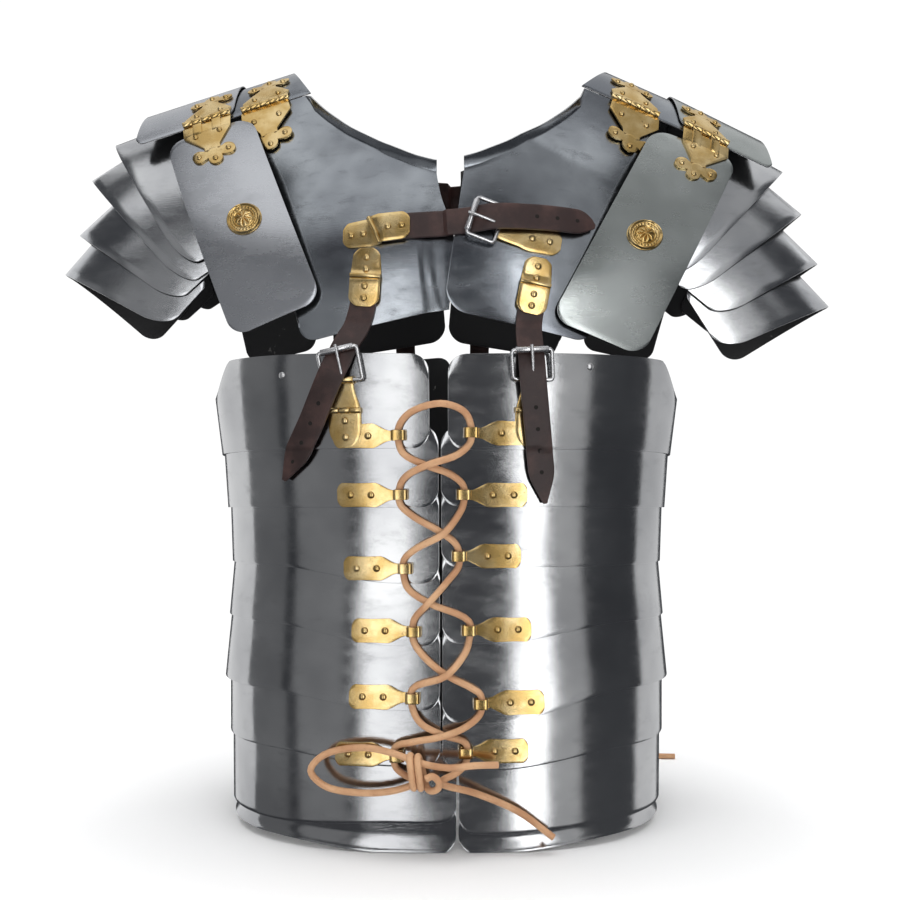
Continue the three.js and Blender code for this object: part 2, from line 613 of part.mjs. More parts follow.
// Shoulder arch: x outwards, angle 0 at the ridge, negative to the front; ridge is the height of the top line.
function archPoint(x, angle, ridge, lift = 0) {
  const y = (ARCH_DEPTH + lift) * Math.sin(radians(angle));
  return vector(x, y, ridge + lift - (ARCH_DROP + lift) * (1 - Math.cos(radians(angle))));
}
const mirrored = (point, side) => vector(side * point.x, point.y, point.z);

function collarRidge(shoulder, x) {
  return NECK_TOP - shoulder.collarSlope * (x - shoulder.neckHalf);
}
function hingeLine(shoulder, x) {
  return archPoint(x, ARCH_ANGLE, collarRidge(shoulder, x)).z;
}
function guardRidge(shoulder, x) {
  const { inner, innerDrop, outer, outerDrop } = shoulder.guard;
  return NECK_TOP - lerp(innerDrop, outerDrop, (x - inner) / (outer - inner));
}

// Chest surface: depth in front of the middle plane at a place x outwards and a height z.
function chestDepth(shoulder, x, z) {
  const drop = Math.max(0, hingeLine(shoulder, x) - z);
  const full = CHEST_DEPTH * fromTable(CHEST_PROFILE, 'drop', 'depth', drop);
  const round = (1 - Math.min(0.97, x / CHEST_HALF) ** SECTION_POWER) ** (1 / SECTION_POWER);
  const hingeShare = (ARCH_DEPTH * Math.sin(radians(ARCH_ANGLE))) / (CHEST_DEPTH * CHEST_PROFILE[0].depth);
  return full * lerp(hingeShare, round, Math.min(1, drop / 90));
}
const chestPoint = (shoulder, x, z, ySign = -1) => vector(x, ySign * chestDepth(shoulder, x, z), z);

const PLATE_COLUMNS = [0, 0.03, 0.12, 0.26, 0.42, 0.58, 0.72, 0.87, 0.97, 1];

function chestPlate(shoulder, name, ySign, lowIn, lowOut, innerLow, innerTop, neckEdge) {
  const outerTop = shoulder.hingeFrom + 38;
  const outerLow = 120;
  const reaches = shoulder.side < 0 && ySign < 0;
  const grid = PLATE_COLUMNS.map((u) => {
    const topX = lerp(innerTop, outerTop, u);
    const isNeck = topX < neckEdge[neckEdge.length - 1].x;
    const seam = hingeLine(shoulder, topX) - 1.5;
    const top = isNeck ? Math.min(NECK_TOP - fromTable(neckEdge, 'x', 'drop', topX), seam) : seam;
    const base = top - (isNeck ? FLANGE : 3);
    const lowX = lerp(innerLow, outerLow, u);
    const cut = Math.min(reaches ? PLATE_CORNER : lowX - innerLow, outerLow - lowX);
    const low = lerp(lowIn, lowOut, u) + corner(cut, PLATE_CORNER);
    const near = reaches ? Math.max(0, 1 - u / 0.12) : 0;
    const points = CHEST_ROWS.map(({ up, under }) => {
      const x = lerp(lowX, topX, up) - near * under;
      const point = chestPoint(shoulder, Math.abs(x), lerp(low, base, up), ySign);
      point.x = x;
      if (near * under > 0) point.y -= ySign * UNDER_TUCK;
      return point;
    });
    const edge = chestPoint(shoulder, topX, top, ySign);
    if (isNeck) edge.y += ySign * FLANGE_OUT;
    points.push(edge);
    return points.map((point) => mirrored(point, shoulder.side));
  });
  add(name, sheet(grid, vector(0, 0, 520)), STEEL);
}

const ARCH_ROWS = [-1, -0.68, -0.34, 0, 0.34, 0.68, 1];

function collar(shoulder, sideName) {
  const outer = shoulder.guard.inner + 8;
  const grid = [0, 0.25, 0.5, 0.75, 1].map((u) =>
    ARCH_ROWS.map((share) => {
      const angle = share * ARCH_ANGLE;
      const inner = shoulder.neckHalf - (shoulder.neckHalf - NECK_EDGE[NECK_EDGE.length - 1].x) * share * share;
      const x = lerp(inner, outer, u);
      return mirrored(archPoint(x, angle, collarRidge(shoulder, x)), shoulder.side);
    }),
  );
  add(`${sideName}_collar`, sheet(grid, vector(shoulder.side * 160, 0, 560)), STEEL);
}

const guardArch = (shoulder, x, angle, lift = 0) => archPoint(x, angle, guardRidge(shoulder, x) + 0.3, 1 + lift);

function guardTop(shoulder, sideName) {
  const { inner, outer } = shoulder.guard;
  const r = PLATE_CORNER * 0.6;
  const xs = [...CORNER_STEPS.map((s) => inner + s * r), ...CORNER_STEPS.map((s) => outer - s * r).reverse()];
  const grid = xs.map((x) => {
    const inset = corner(Math.min(x - inner, outer - x), r) / 1.9;
    return ARCH_ROWS.map((share) =>
      mirrored(guardArch(shoulder, x, share * (ARCH_ANGLE - inset)), shoulder.side),
    );
  });
  add(`${sideName}_guard_top`, sheet(grid, vector(shoulder.side * 230, 0, 560)), STEEL);
}

// Point of a hinged guard plate: u across from the inner edge, v down from its top edge, bulging a little forwards.
function guardPlatePoint(plate, u, v) {
  const corners = [plate.topIn, plate.topOut, plate.lowIn, plate.lowOut].map(([x, y, drop]) => {
    return vector(x, y, NECK_TOP - drop);
  });
  const top = corners[0].clone().lerp(corners[1], u);
  const low = corners[2].clone().lerp(corners[3], u);
  const point = top.lerp(low, 0).add(low.clone().sub(top).multiplyScalar(v));
  const bulge = GUARD_BULGE * 4 * Math.max(0, v) * (1 - Math.max(0, v)) + 2 * 4 * u * (1 - u);
  point.y += Math.sign(plate.lowIn[1]) * bulge;
  return point;
}

function guardAxis(shoulder, ySign) {
  const half = BARREL_LENGTH / 2;
  const x = shoulder.guardHinge;
  const angle = ySign * (ARCH_ANGLE + 0.8);
  const slope = (guardRidge(shoulder, x + 10) - guardRidge(shoulder, x - 10)) / 20;
  const run = 1 / Math.hypot(1, slope);
  const ends = [x - half * run, x + half * run].map((at) => {
    return mirrored(guardArch(shoulder, at, angle, BARREL_RADIUS + GAP + 0.8), shoulder.side);
  });
  return ends;
}

function knuckleSpans(ends, wanted) {
  const [from, to] = ends;
  const spans = [];
  for (let k = 0; k < KNUCKLES; k++) {
    if (!wanted(k)) continue;
    const length = from.distanceTo(to);
    const trim = KNUCKLE_GAP / 2 / length;
    spans.push([k / KNUCKLES + trim, (k + 1) / KNUCKLES - trim]);
  }
  return spans.map(([a, b]) => [from.clone().lerp(to, a), from.clone().lerp(to, b)]);
}
const isFixed = (k) => k % 2 === 0;
const isMoving = (k) => k % 2 === 1;

function leafOn(place, rows, inside, lift, thickness) {
  const grid = rows.map(({ down, half }) => [-half, 0, half].map((across) => place(across, down)));
  return sheet(grid, inside, thickness, lift);
}

function guardPlate(shoulder, sideName, ySign) {
  const plate = ySign < 0 ? shoulder.front : shoulder.back;
  const name = `${sideName}_guard_${ySign < 0 ? 'front' : 'back'}`;
  const width = vector(...plate.topIn).distanceTo(vector(...plate.topOut));
  const height = vector(...plate.topIn).distanceTo(vector(...plate.lowIn));
  const r = PLATE_CORNER;
  const us = [...CORNER_STEPS.map((s) => (s * r) / width), 0.5];
  us.push(...CORNER_STEPS.map((s) => 1 - (s * r) / width).reverse());
  const grid = us.map((u) => {
    const inset = corner(Math.min(u, 1 - u) * width, r) / height;
    return [0, 0.25, 0.5, 0.75, 1].map((v) => {
      return mirrored(guardPlatePoint(plate, u, lerp(inset, 1 - inset, v)), shoulder.side);
    });
  });
  const inside = vector(shoulder.side * 180, 0, 520);
  const parts = [sheet(grid, inside)];
  const ends = guardAxis(shoulder, ySign);
  const middle = ends[0].clone().lerp(ends[1], 0.5);
  const uMiddle = (Math.abs(middle.x) - plate.topIn[0]) / (plate.topOut[0] - plate.topIn[0]) - 0.01;
  const place = (across, down) =>
    mirrored(guardPlatePoint(plate, uMiddle + across / width, (down - 8) / height), shoulder.side);
  const rows = LEAF.filter((row) => row.down >= 14);
  rows.unshift({ down: 9, half: LEAF[0].half });
  parts.push(leafOn(place, rows, inside, BRASS, BRASS + BITE));
  const along = ends[1].clone().sub(ends[0]).normalize();
  for (const [a, b] of knuckleSpans(ends, isMoving)) {
    parts.push(bar(a, b, BARREL_RADIUS, 8));
    const centre = a.clone().lerp(b, 0.5);
    const across = centre.clone().sub(middle).dot(along);
    const target = place(across, 13);
    const reach = target.clone().sub(centre).projectOnPlane(along);
    const length = a.distanceTo(b);
    const slabMiddle = centre.clone().addScaledVector(reach, 0.5);
    parts.push(slab(slabMiddle, along, reach.clone().normalize(), length, reach.length(), BRASS + BITE));
  }
  if (ySign < 0) parts.push(boss(plate, shoulder));
  add(name, fuse(parts), STEEL);
}

// Round embossed boss in the upper middle of the front guard plate.
function boss(plate, shoulder) {
  const centre = mirrored(guardPlatePoint(plate, 0.45, 0.52), shoulder.side);
  const right = mirrored(guardPlatePoint(plate, 0.6, 0.52), shoulder.side).sub(centre);
  const down = mirrored(guardPlatePoint(plate, 0.45, 0.62), shoulder.side).sub(centre);
  const out = right.clone().cross(down).normalize();
  if (out.y > 0) out.negate();
  const profile = [[0, -1], [13, -1], [15, 0.6], [15, 2.4], [12.5, 2.8], [10, 1.8], [4, 3.6], [0, 4.2]];
  const disc = new THREE.LatheGeometry(profile.map(([x, y]) => new THREE.Vector2(x, y)), 14);
  disc.applyQuaternion(new THREE.Quaternion().setFromUnitVectors(vector(0, 1, 0), out));
  return disc.translate(centre.x, centre.y, centre.z);
}

function guardHinge(shoulder, sideName, ySign) {
  const ends = guardAxis(shoulder, ySign);
  const slopeRun = (Math.abs(ends[1].x) - Math.abs(ends[0].x)) / BARREL_LENGTH;
  const upperRows = LEAF.map((row) => ({ down: row.down * UPPER_LEAF_SHARE, half: row.half }));
  const place = (across, down) => {
    const angle = ySign * (ARCH_ANGLE + 0.2 - down / 2);
    return mirrored(guardArch(shoulder, shoulder.guardHinge + across * slopeRun, angle), shoulder.side);
  };
  const inside = vector(shoulder.side * 230, 0, 560);
  let body = solid(leafOn(place, upperRows, inside, LEAF_LIFT + BRASS, BRASS));
  for (const [a, b] of knuckleSpans(ends, isMoving)) {
    const reach = b.clone().sub(a).normalize().multiplyScalar(KNUCKLE_GAP * 0.8);
    body = body.subtract(solid(bar(a.clone().sub(reach), b.clone().add(reach), BARREL_RADIUS + 2.2, 8)));
  }
  for (const [a, b] of knuckleSpans(ends, isFixed)) body = body.add(solid(bar(a, b, BARREL_RADIUS, 8)));
  add(`${sideName}_guard_hinge_${ySign < 0 ? 'front' : 'back'}`, geometryFrom(body), BRASS_LOOK);
}

function collarHinge(shoulder, sideName, ySign) {
  const x = shoulder.hingeFrom + BARREL_LENGTH / 2;
  const lowerPlace = (across, down) => {
    const z = hingeLine(shoulder, x + across) - 2 - down * 0.88;
    return mirrored(chestPoint(shoulder, x + across - down * 0.2, z, ySign), shoulder.side);
  };
  const upperPlace = (across, down) => {
    const angle = ySign * (ARCH_ANGLE - 1 - down / 2);
    return mirrored(archPoint(x + across, angle, collarRidge(shoulder, x + across)), shoulder.side);
  };
  const upperRows = LEAF.map((row) => ({ down: row.down * UPPER_LEAF_SHARE, half: row.half * 0.95 }));
  const half = BARREL_LENGTH / 2 - 1;
  const ends = [x - half, x + half].map((at) => {
    const angle = ySign * (ARCH_ANGLE + 0.5);
    return mirrored(archPoint(at, angle, collarRidge(shoulder, at), BARREL_RADIUS + LEAF_LIFT), shoulder.side);
  });
  const inside = vector(shoulder.side * 160, 0, 560);
  const parts = [
    leafOn(lowerPlace, LEAF, vector(shoulder.side * 100, 0, 500), LEAF_LIFT + CHEST_LEAF_LIFT + BRASS, BRASS),
    leafOn(upperPlace, upperRows, inside, LEAF_LIFT + BRASS, BRASS),
    bar(ends[0], ends[1], BARREL_RADIUS, 8),
  ];
  add(`${sideName}_collar_hinge_${ySign < 0 ? 'front' : 'back'}`, fuse(parts), BRASS_LOOK);
}

// Arm lame: an arch that is a quarter ellipse to the front and one to the back, between its two edges.
function lamePoint(lame, angle, v, lift = 0) {
  const a = radians(angle);
  const isBack = angle > 0;
  const topX = lerp(lame.lowX, lame.upX, v);
  const topZ = NECK_TOP - lerp(lame.lowDrop, lame.upDrop, v);
  const tipX = lerp(lame.tipX, lame.tipUpX, v) + (isBack ? lame.backIn : 0);
  const tipZ = NECK_TOP - lerp(lame.tipDrop, lame.tipUpDrop, v) + (isBack ? lame.backIn * 0.15 : 0);
  const drop = 1 - Math.cos(a);
  const x = topX + (tipX - topX) * drop;
  const z = topZ + (tipZ - topZ) * drop;
  return vector(x + lift * 0.6, (lame.depth + lift) * Math.sin(a), z + lift * 0.8);
}

const LAME_ANGLES = [-90, -86, -78, -62, -44, -26, -9, 9, 26, 44, 62, 78, 86, 90];
const LAME_INSETS = [0.26, 0.09, 0];

function armLame(shoulder, sideName, number) {
  const lame = LAMES[sideName][number];
  const last = LAME_ANGLES.length - 1;
  const grid = LAME_ANGLES.map((angle, i) => {
    const inset = LAME_INSETS[Math.min(i, last - i, 2)];
    return [inset, 1 - inset * 0.8].map((v) => mirrored(lamePoint(lame, angle, v), shoulder.side));
  });
  add(`${sideName}_arm_lame_${number + 1}`, sheet(grid, vector(shoulder.side * 200, 0, 480)), STEEL);
}

// Hidden leather under the ridge of the guard and the lames, a finger wide, which carries them.
function armLeather(shoulder, sideName) {
  const below = WALL + GAP;
  const angles = [-9, 9];
  const rows = [];
  rows.push(angles.map((angle) => guardArch(shoulder, shoulder.guard.inner + 14, angle, -below - 1.8)));
  rows.push(angles.map((angle) => guardArch(shoulder, shoulder.guard.inner + 30, angle, -below - 1.8)));
  for (const lame of LAMES[sideName]) {
    for (const v of [1, 0.72]) {
      const along = vector(lame.upX - lame.lowX, 0, lame.lowDrop - lame.upDrop).normalize();
      rows.push(
        angles.map((angle) => {
          const point = lamePoint(lame, angle, v);
          point.x += along.z * (below + 0.2) * -1;
          point.z += along.x * (below + 0.2);
          return point;
        }),
      );
    }
  }
  const grid = rows.map((row) => row.map((point) => mirrored(point, shoulder.side)));
  add(`${sideName}_arm_leather`, sheet(grid, vector(shoulder.side * 160, 0, 460), 2), LEATHER_LOOK);
}

// Depth of the armour's front or back face at a place: the chest plates above the gap, the top hoops below it.
function faceDepth(x, z, ySign) {
  const sideName = x < 0 ? 'left' : 'right';
  const shoulder = SHOULDERS[sideName];
  const chestEnd = ySign < 0 ? 428 : 456;
  const girthEnd = ySign < 0 ? 402 : 448;
  const chest = chestDepth(shoulder, Math.abs(x), Math.max(z, chestEnd));
  const number = z < HOOPS[0][sideName] ? 1 : 0;
  const girth = Math.abs(hoopPoint(1, sideName, number, Math.abs(x), Math.min(z, girthEnd), ySign).y);
  return lerp(girth, chest, THREE.MathUtils.clamp((z - girthEnd) / (chestEnd - girthEnd), 0, 1));
}

// Strap or fitting that follows the face: rows along its length with the place, half the width and how proud its
// outer face stands.
function strip(rows, thickness, ySign = -1, across = [-1, 1]) {
  const grid = rows.map((row, i) => {
    const next = rows[Math.min(i + 1, rows.length - 1)];
    const last = rows[Math.max(i - 1, 0)];
    const run = vector(next.x - last.x, 0, next.z - last.z).normalize();
    return across.map((w) => {
      const x = row.x + run.z * w * row.half;
      const z = row.z - run.x * w * row.half;
      return vector(x, ySign * (faceDepth(x, z, ySign) + row.proud), z);
    });
  });
  const middle = rows[Math.floor(rows.length / 2)];
  return sheet(grid, vector(middle.x * 0.4, 0, middle.z), thickness);
}

// Roller buckle: a frame of round wire with a thick roller at one end, between the ends of its roller and its bar.
function buckle(roller, barEnds) {
  const parts = [
    bar(...roller, ROLLER_RADIUS),
    bar(...barEnds, BUCKLE_WIRE),
    bar(roller[0], barEnds[0], BUCKLE_WIRE),
    bar(roller[1], barEnds[1], BUCKLE_WIRE),
  ];
  for (const joint of barEnds) {
    parts.push(new THREE.IcosahedronGeometry(BUCKLE_WIRE * 1.2, 0).translate(...joint));
  }
  return parts;
}

function onFace(x, z, proud, ySign = -1) {
  return vector(x, ySign * (faceDepth(x, z, ySign) + proud), z);
}

// Ends of a cross bar of a buckle, square to the run of the strap and following the face.
function crossBar(x, z, runX, runZ, proud) {
  const run = vector(runX, 0, runZ).normalize();
  return [-BUCKLE_WIDTH / 2, BUCKLE_WIDTH / 2].map((w) => onFace(x + run.z * w, z - run.x * w, proud));
}

function frontBuckle(side, sideName) {
  const { rollerX, rollerZ, rollerProud } = STRAP_BUCKLES[sideName];
  const rollEnds = [-8, 8].map((across) => {
    const end = hoopPoint(1, sideName, 0, STRAP_PLATE[sideName] + side * across, STRAP_ROLL_Z, -1);
    return vector(side * end.x, end.y - STRAP_ROLL_PROUD, end.z);
  });
  const middle = rollEnds[0].clone().lerp(rollEnds[1], 0.5);
  const along = rollEnds[1].clone().sub(rollEnds[0]).normalize();
  const barEnds = [-1, 1].map((end) => middle.clone().addScaledVector(along, (-end * BUCKLE_WIDTH) / 2));
  const roller = crossBar(rollerX, rollerZ, middle.x - rollerX, middle.z - rollerZ, rollerProud);
  add(`${sideName}_front_buckle`, fuse(buckle(roller, barEnds)), BRIGHT_STEEL);
}

function chestBuckle() {
  const { rollerX, rollerZ, rollerProud, barX, barZ, barProud } = CHEST_BUCKLE;
  const roller = crossBar(rollerX, rollerZ, barX - rollerX, barZ - rollerZ, rollerProud);
  const barEnds = crossBar(barX, barZ, barX - rollerX, barZ - rollerZ, barProud);
  const fitting = strip(RIGHT_CHEST_FITTING, BRASS, -1, [-1, 0, 1]);
  add('chest_buckle', fuse([...buckle(roller, barEnds), fitting]), BRIGHT_STEEL);
}

function lace(name, points, steps) {
  const curve = new THREE.CatmullRomCurve3(points.map((p) => vector(...p)), false, 'centripetal');
  const ring = [];
  for (let k = 0; k < LACE_SIDES; k++) {
    const turn = (k / LACE_SIDES) * Math.PI * 2;
    ring.push(new THREE.Vector2(Math.cos(turn), Math.sin(turn)).multiplyScalar(LACE / 2));
  }
  const tube = new THREE.ExtrudeGeometry(new THREE.Shape(ring), {
    steps,
    extrudePath: curve,
    bevelEnabled: false,
  });
  add(name, tube, LACE_LOOK);
}

for (const [sideName, shoulder] of Object.entries(SHOULDERS)) {
  const side = shoulder.side;
  for (let number = 0; number < HOOPS.length; number++) hoop(side, sideName, number);
  const innerLow = side < 0 ? 1.6 : 0.4;
  const innerTop = side < 0 ? 8 : 15;
  chestPlate(shoulder, `${sideName}_breastplate`, -1, 438, 412, innerLow, innerTop, NECK_EDGE);
  chestPlate(shoulder, `${sideName}_back_plate`, 1, 462, 441, 2, 15, BACK_NECK_EDGE);
  collar(shoulder, sideName);
  guardTop(shoulder, sideName);
  for (const ySign of [-1, 1]) {
    collarHinge(shoulder, sideName, ySign);
    guardHinge(shoulder, sideName, ySign);
    guardPlate(shoulder, sideName, ySign);
  }
  for (let number = 0; number < LAMES[sideName].length; number++) armLame(shoulder, sideName, number);
  armLeather(shoulder, sideName);
  add(`${sideName}_strap_fitting`, strip(STRAP_FITTINGS[sideName], BRASS, -1, [-1, 0, 1]), BRASS_LOOK);
  add(`${sideName}_front_strap`, strip(FRONT_STRAPS[sideName], LEATHER), LEATHER_LOOK);
  frontBuckle(side, sideName);
  add(`${sideName}_back_strap`, strip(BACK_STRAPS[sideName], LEATHER, 1), LEATHER_LOOK);
}
add('left_chest_fitting', strip(LEFT_CHEST_FITTING, BRASS, -1, [-1, 0, 1]), BRASS_LOOK);
add('chest_strap', strip(CHEST_STRAP, LEATHER), LEATHER_LOOK);
chestBuckle();
add('back_neck_strap', strip(BACK_NECK_STRAP, LEATHER, 1), LEATHER_LOOK);
lace('front_lace', FRONT_LACE, LACE_STEPS.front);
lace('back_lace', BACK_LACE, LACE_STEPS.back);

export default armour;
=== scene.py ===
import math
import bpy
from mathutils import Matrix, Vector


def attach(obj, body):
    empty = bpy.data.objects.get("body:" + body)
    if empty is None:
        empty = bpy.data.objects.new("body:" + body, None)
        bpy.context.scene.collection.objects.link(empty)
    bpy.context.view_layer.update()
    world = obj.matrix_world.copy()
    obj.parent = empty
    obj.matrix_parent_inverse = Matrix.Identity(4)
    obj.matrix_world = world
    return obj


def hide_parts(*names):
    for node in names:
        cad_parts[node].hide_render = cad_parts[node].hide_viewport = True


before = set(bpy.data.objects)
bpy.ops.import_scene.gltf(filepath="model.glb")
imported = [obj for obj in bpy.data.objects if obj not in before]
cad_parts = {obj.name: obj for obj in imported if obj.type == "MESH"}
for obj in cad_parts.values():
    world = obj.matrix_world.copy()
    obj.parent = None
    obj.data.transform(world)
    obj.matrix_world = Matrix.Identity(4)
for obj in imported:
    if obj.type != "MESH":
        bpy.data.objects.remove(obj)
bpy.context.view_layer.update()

# Camera. The armour is looked at level, from just under a metre in front of it and at the height of its
# hoops, and the frame is shifted up so that the shoulders are in it.
bpy.ops.object.select_all(action="DESELECT")
bpy.ops.object.camera_add(location=(0.0033, -0.95, 0.281), rotation=(math.radians(90), 0, 0))
camera = bpy.context.object
camera.data.sensor_width = 36
camera.data.lens = 39.9
camera.data.shift_y = 0.0611
bpy.context.scene.camera = camera

# Laces. Two round thongs of tan leather, threaded through the brass eyes of the hoops. The front one ends
# in a bow and a knot over the lowest hoops, the back one trails out on the floor behind the armour.
MM = 0.001
LACE_THICK = 5.5
FRONT_LACE = [
    (86, -152, 15), (58, -153, 36), (24, -158, 52), (-4, -166.5, 63), (9, -159.5, 69), (16, -156.1, 76),
    (16, -155.7, 91), (-3, -156.1, 98), (-20, -158.7, 108), (-26.5, -158.7, 120), (-26.5, -158.3, 135),
    (0, -163.7, 146), (15, -158.7, 163), (18.5, -155.1, 173), (18.5, -154.9, 188), (-14, -155.5, 203),
    (-30, -154.3, 214), (-33.5, -153.3, 223), (-33.5, -153.3, 237), (-24, -155.3, 246), (-2, -161.5, 258),
    (10, -158.1, 273), (14, -157.6, 282), (14, -157.7, 296), (4, -161.5, 305), (-15, -162.9, 312),
    (-33, -163.1, 321), (-37, -162.8, 329), (-37, -163, 343), (-28, -164.1, 354), (-4, -164.5, 361),
    (14, -163.9, 355), (19.5, -163.1, 345), (19.5, -162.9, 331), (10, -164.5, 321), (-15, -169.1, 312),
    (-31, -162.9, 304), (-36.5, -157.6, 296), (-36.5, -157.5, 282), (-26, -157.1, 272), (-2, -155.3, 258),
    (9, -154.1, 248), (10.5, -153.5, 233), (2, -155.5, 221), (-14, -161.7, 203), (-24, -156.5, 192),
    (-26, -154.8, 187), (-26, -155.1, 173), (-17, -157.5, 160), (0, -157.5, 146), (20, -159.1, 136),
    (27.6, -158.4, 130), (27.6, -158.6, 116), (16, -159.1, 105), (-3, -162.3, 98), (-26, -158.5, 93),
    (-40.3, -155.6, 88), (-40.3, -155.5, 73), (-32, -157.5, 66), (-22, -162.5, 63), (-40, -160, 55),
    (-70, -156, 52), (-97, -154, 57), (-108, -153.5, 69), (-97, -155.5, 82), (-66, -160.5, 89),
    (-40, -164.5, 85), (-22, -167.5, 79), (2, -172.5, 76), (22, -169.5, 77), (41, -163.5, 76),
]
BACK_LACE = [
    (-18, 164, 64), (-35, 157, 69), (-40.3, 155, 77), (-40.3, 155, 88), (-26, 158.5, 93), (-3, 162.3, 98),
    (16, 159.1, 105), (28, 158.6, 116), (28, 158.4, 130), (20, 159.1, 136), (0, 157.5, 146), (-17, 157.5, 160),
    (-26, 155.1, 173), (-26, 154.8, 187), (-24, 156.5, 192), (-14, 161.7, 203), (2, 155.5, 221),
    (10.5, 153.5, 233), (9, 154.1, 248), (-2, 155.3, 258), (-26, 157.1, 272), (-36.5, 157.5, 282),
    (-36.5, 157.6, 296), (-31, 162.9, 304), (-15, 169.1, 312), (10, 164.5, 321), (19.5, 162.7, 331),
    (19.5, 162.8, 345), (14, 163.9, 355), (-4, 164.5, 361), (-28, 164.1, 354), (-37, 162.7, 343),
    (-37, 162.7, 329), (-33, 163.1, 321), (-15, 162.9, 312), (4, 161.5, 305), (14, 157.7, 296),
    (14, 157.6, 282), (10, 158.1, 273), (-2, 161.5, 258), (-24, 155.3, 246), (-33.5, 153.3, 237),
    (-33.5, 153.3, 223), (-30, 154.3, 214), (-14, 155.5, 203), (18.5, 154.9, 188), (18.5, 155.1, 173),
    (15, 158.7, 163), (0, 163.7, 146), (-26.5, 158.3, 135), (-26.5, 158.7, 120), (-20, 158.7, 108),
    (-3, 156.1, 98), (16, 155.7, 91), (16, 155.9, 76), (24, 160, 50), (40, 163, 24), (62, 166, 7),
    (88, 168, 3), (120, 168, 3), (160, 164, 3), (200, 159, 3), (228, 156, 3), (252, 154, 3),
]


class Wire:
    """One socket of a material, which can be worked with like a number."""

    def __init__(self, tree, socket=None):
        self.tree = tree
        self.socket = socket

    def node(self, kind, settings, values, output=0):
        made = self.tree.nodes.new(kind)
        for name, value in settings.items():
            setattr(made, name, value)
        for name, value in values.items():
            if isinstance(value, Wire):
                self.tree.links.new(value.socket, made.inputs[name])
            else:
                made.inputs[name].default_value = value
        return Wire(self.tree, made.outputs[output])

    def math(self, operation, first, second=0.0):
        return self.node("ShaderNodeMath", {"operation": operation}, {0: first, 1: second})

    def __add__(self, other):
        return self.math("ADD", self, other)

    __radd__ = __add__

    def __sub__(self, other):
        return self.math("SUBTRACT", self, other)

    def __rsub__(self, other):
        return self.math("SUBTRACT", other, self)

    def __mul__(self, other):
        return self.math("MULTIPLY", self, other)

    __rmul__ = __mul__

    def rise(self, low, high):
        values = {"Value": self, "From Min": low, "From Max": high}
        return self.node("ShaderNodeMapRange", {"interpolation_type": "SMOOTHSTEP"}, values)

    def noise(self, place, scale, detail=3.0, rough=0.5):
        values = {"Vector": place, "Scale": scale, "Detail": detail, "Roughness": rough}
        return self.node("ShaderNodeTexNoise", {}, values)

    def stretch(self, place, size):
        return self.node("ShaderNodeMapping", {}, {"Vector": place, "Scale": size})

    def blend(self, share, first, second):
        first, second = ((*shade, 1) if isinstance(shade, tuple) else shade for shade in (first, second))
        return self.node("ShaderNodeMix", {"data_type": "RGBA"}, {0: share, 6: first, 7: second}, 2)


def finish_named(name):
    """A new material and the wire that its nodes are drawn from."""
    material = bpy.data.materials.new(name)
    material.use_nodes = True
    start = Wire(material.node_tree)
    place = start.node("ShaderNodeTexCoord", {}, {}, "Object")
    return material, start, place


def put_on(material, base, rough, metal, bump=None, strength=0.3, depth=0.0005):
    """Joins colour, roughness, metal and relief to the material's shader."""
    tree = material.node_tree
    shader = tree.nodes["Principled BSDF"]
    start = Wire(tree)
    for name, value in (("Base Color", base), ("Roughness", rough), ("Metallic", metal)):
        if isinstance(value, Wire):
            tree.links.new(value.socket, shader.inputs[name])
        elif isinstance(value, tuple):
            shader.inputs[name].default_value = (*value, 1)
        else:
            shader.inputs[name].default_value = value
    if bump is not None:
        relief = {"Height": bump, "Strength": strength, "Distance": depth}
        tree.links.new(start.node("ShaderNodeBump", {}, relief).socket, shader.inputs["Normal"])
    return material


def lace_leather():
    material, start, place = finish_named("tan_lace_leather")
    fibre = start.noise(place, 420, 4, 0.6)
    handled = start.noise(place, 38, 3)
    base = start.blend(handled.rise(0.35, 0.7), (0.47, 0.245, 0.125), (0.62, 0.37, 0.205))
    base = start.blend((fibre.rise(0.58, 0.72)) * 0.45, base, (0.30, 0.14, 0.07))
    return put_on(material, base, 0.62 + 0.25 * fibre, 0.0, fibre, 0.45, 0.0006)


def threaded(points):
    """Closely spaced places of a smooth thong through given points."""
    marks = [Vector(p) for p in points]
    marks = [marks[0] * 2 - marks[1]] + marks + [marks[-1] * 2 - marks[-2]]
    places = []
    for i in range(1, len(marks) - 2):
        before, here, there, after = marks[i - 1 : i + 3]
        pairs = ((before, here), (here, there), (there, after))
        gaps = [max(1e-4, (b - a).length ** 0.5) for a, b in pairs]
        leave = (here - before) / gaps[0] - (there - before) / (gaps[0] + gaps[1]) + (there - here) / gaps[1]
        reach = (there - here) / gaps[1] - (after - here) / (gaps[1] + gaps[2]) + (after - there) / gaps[2]
        leave, reach = leave * gaps[1], reach * gaps[1]
        for step in range(5):
            t = step / 5
            bend = here * -3 + there * 3 - leave * 2 - reach
            places.append(here + leave * t + bend * t * t + (here * 2 - there * 2 + leave + reach) * t**3)
    return places + [marks[-2]]


def run_of(places):
    return sum((b - a).length for a, b in zip(places, places[1:]))


def wire_rod(name, places, radius, closed=False, sides=3):
    """Round rod along places in millimetres, as a curve."""
    curve = bpy.data.curves.new(name, "CURVE")
    curve.dimensions = "3D"
    curve.bevel_depth = radius * MM
    curve.bevel_resolution = sides
    curve.use_fill_caps = True
    spline = curve.splines.new("POLY")
    spline.points.add(len(places) - 1)
    for point, place in zip(spline.points, places):
        point.co = (*(Vector(place) * MM), 1)
    spline.use_cyclic_u = closed
    rod = bpy.data.objects.new(name, curve)
    bpy.context.scene.collection.objects.link(rod)
    return rod


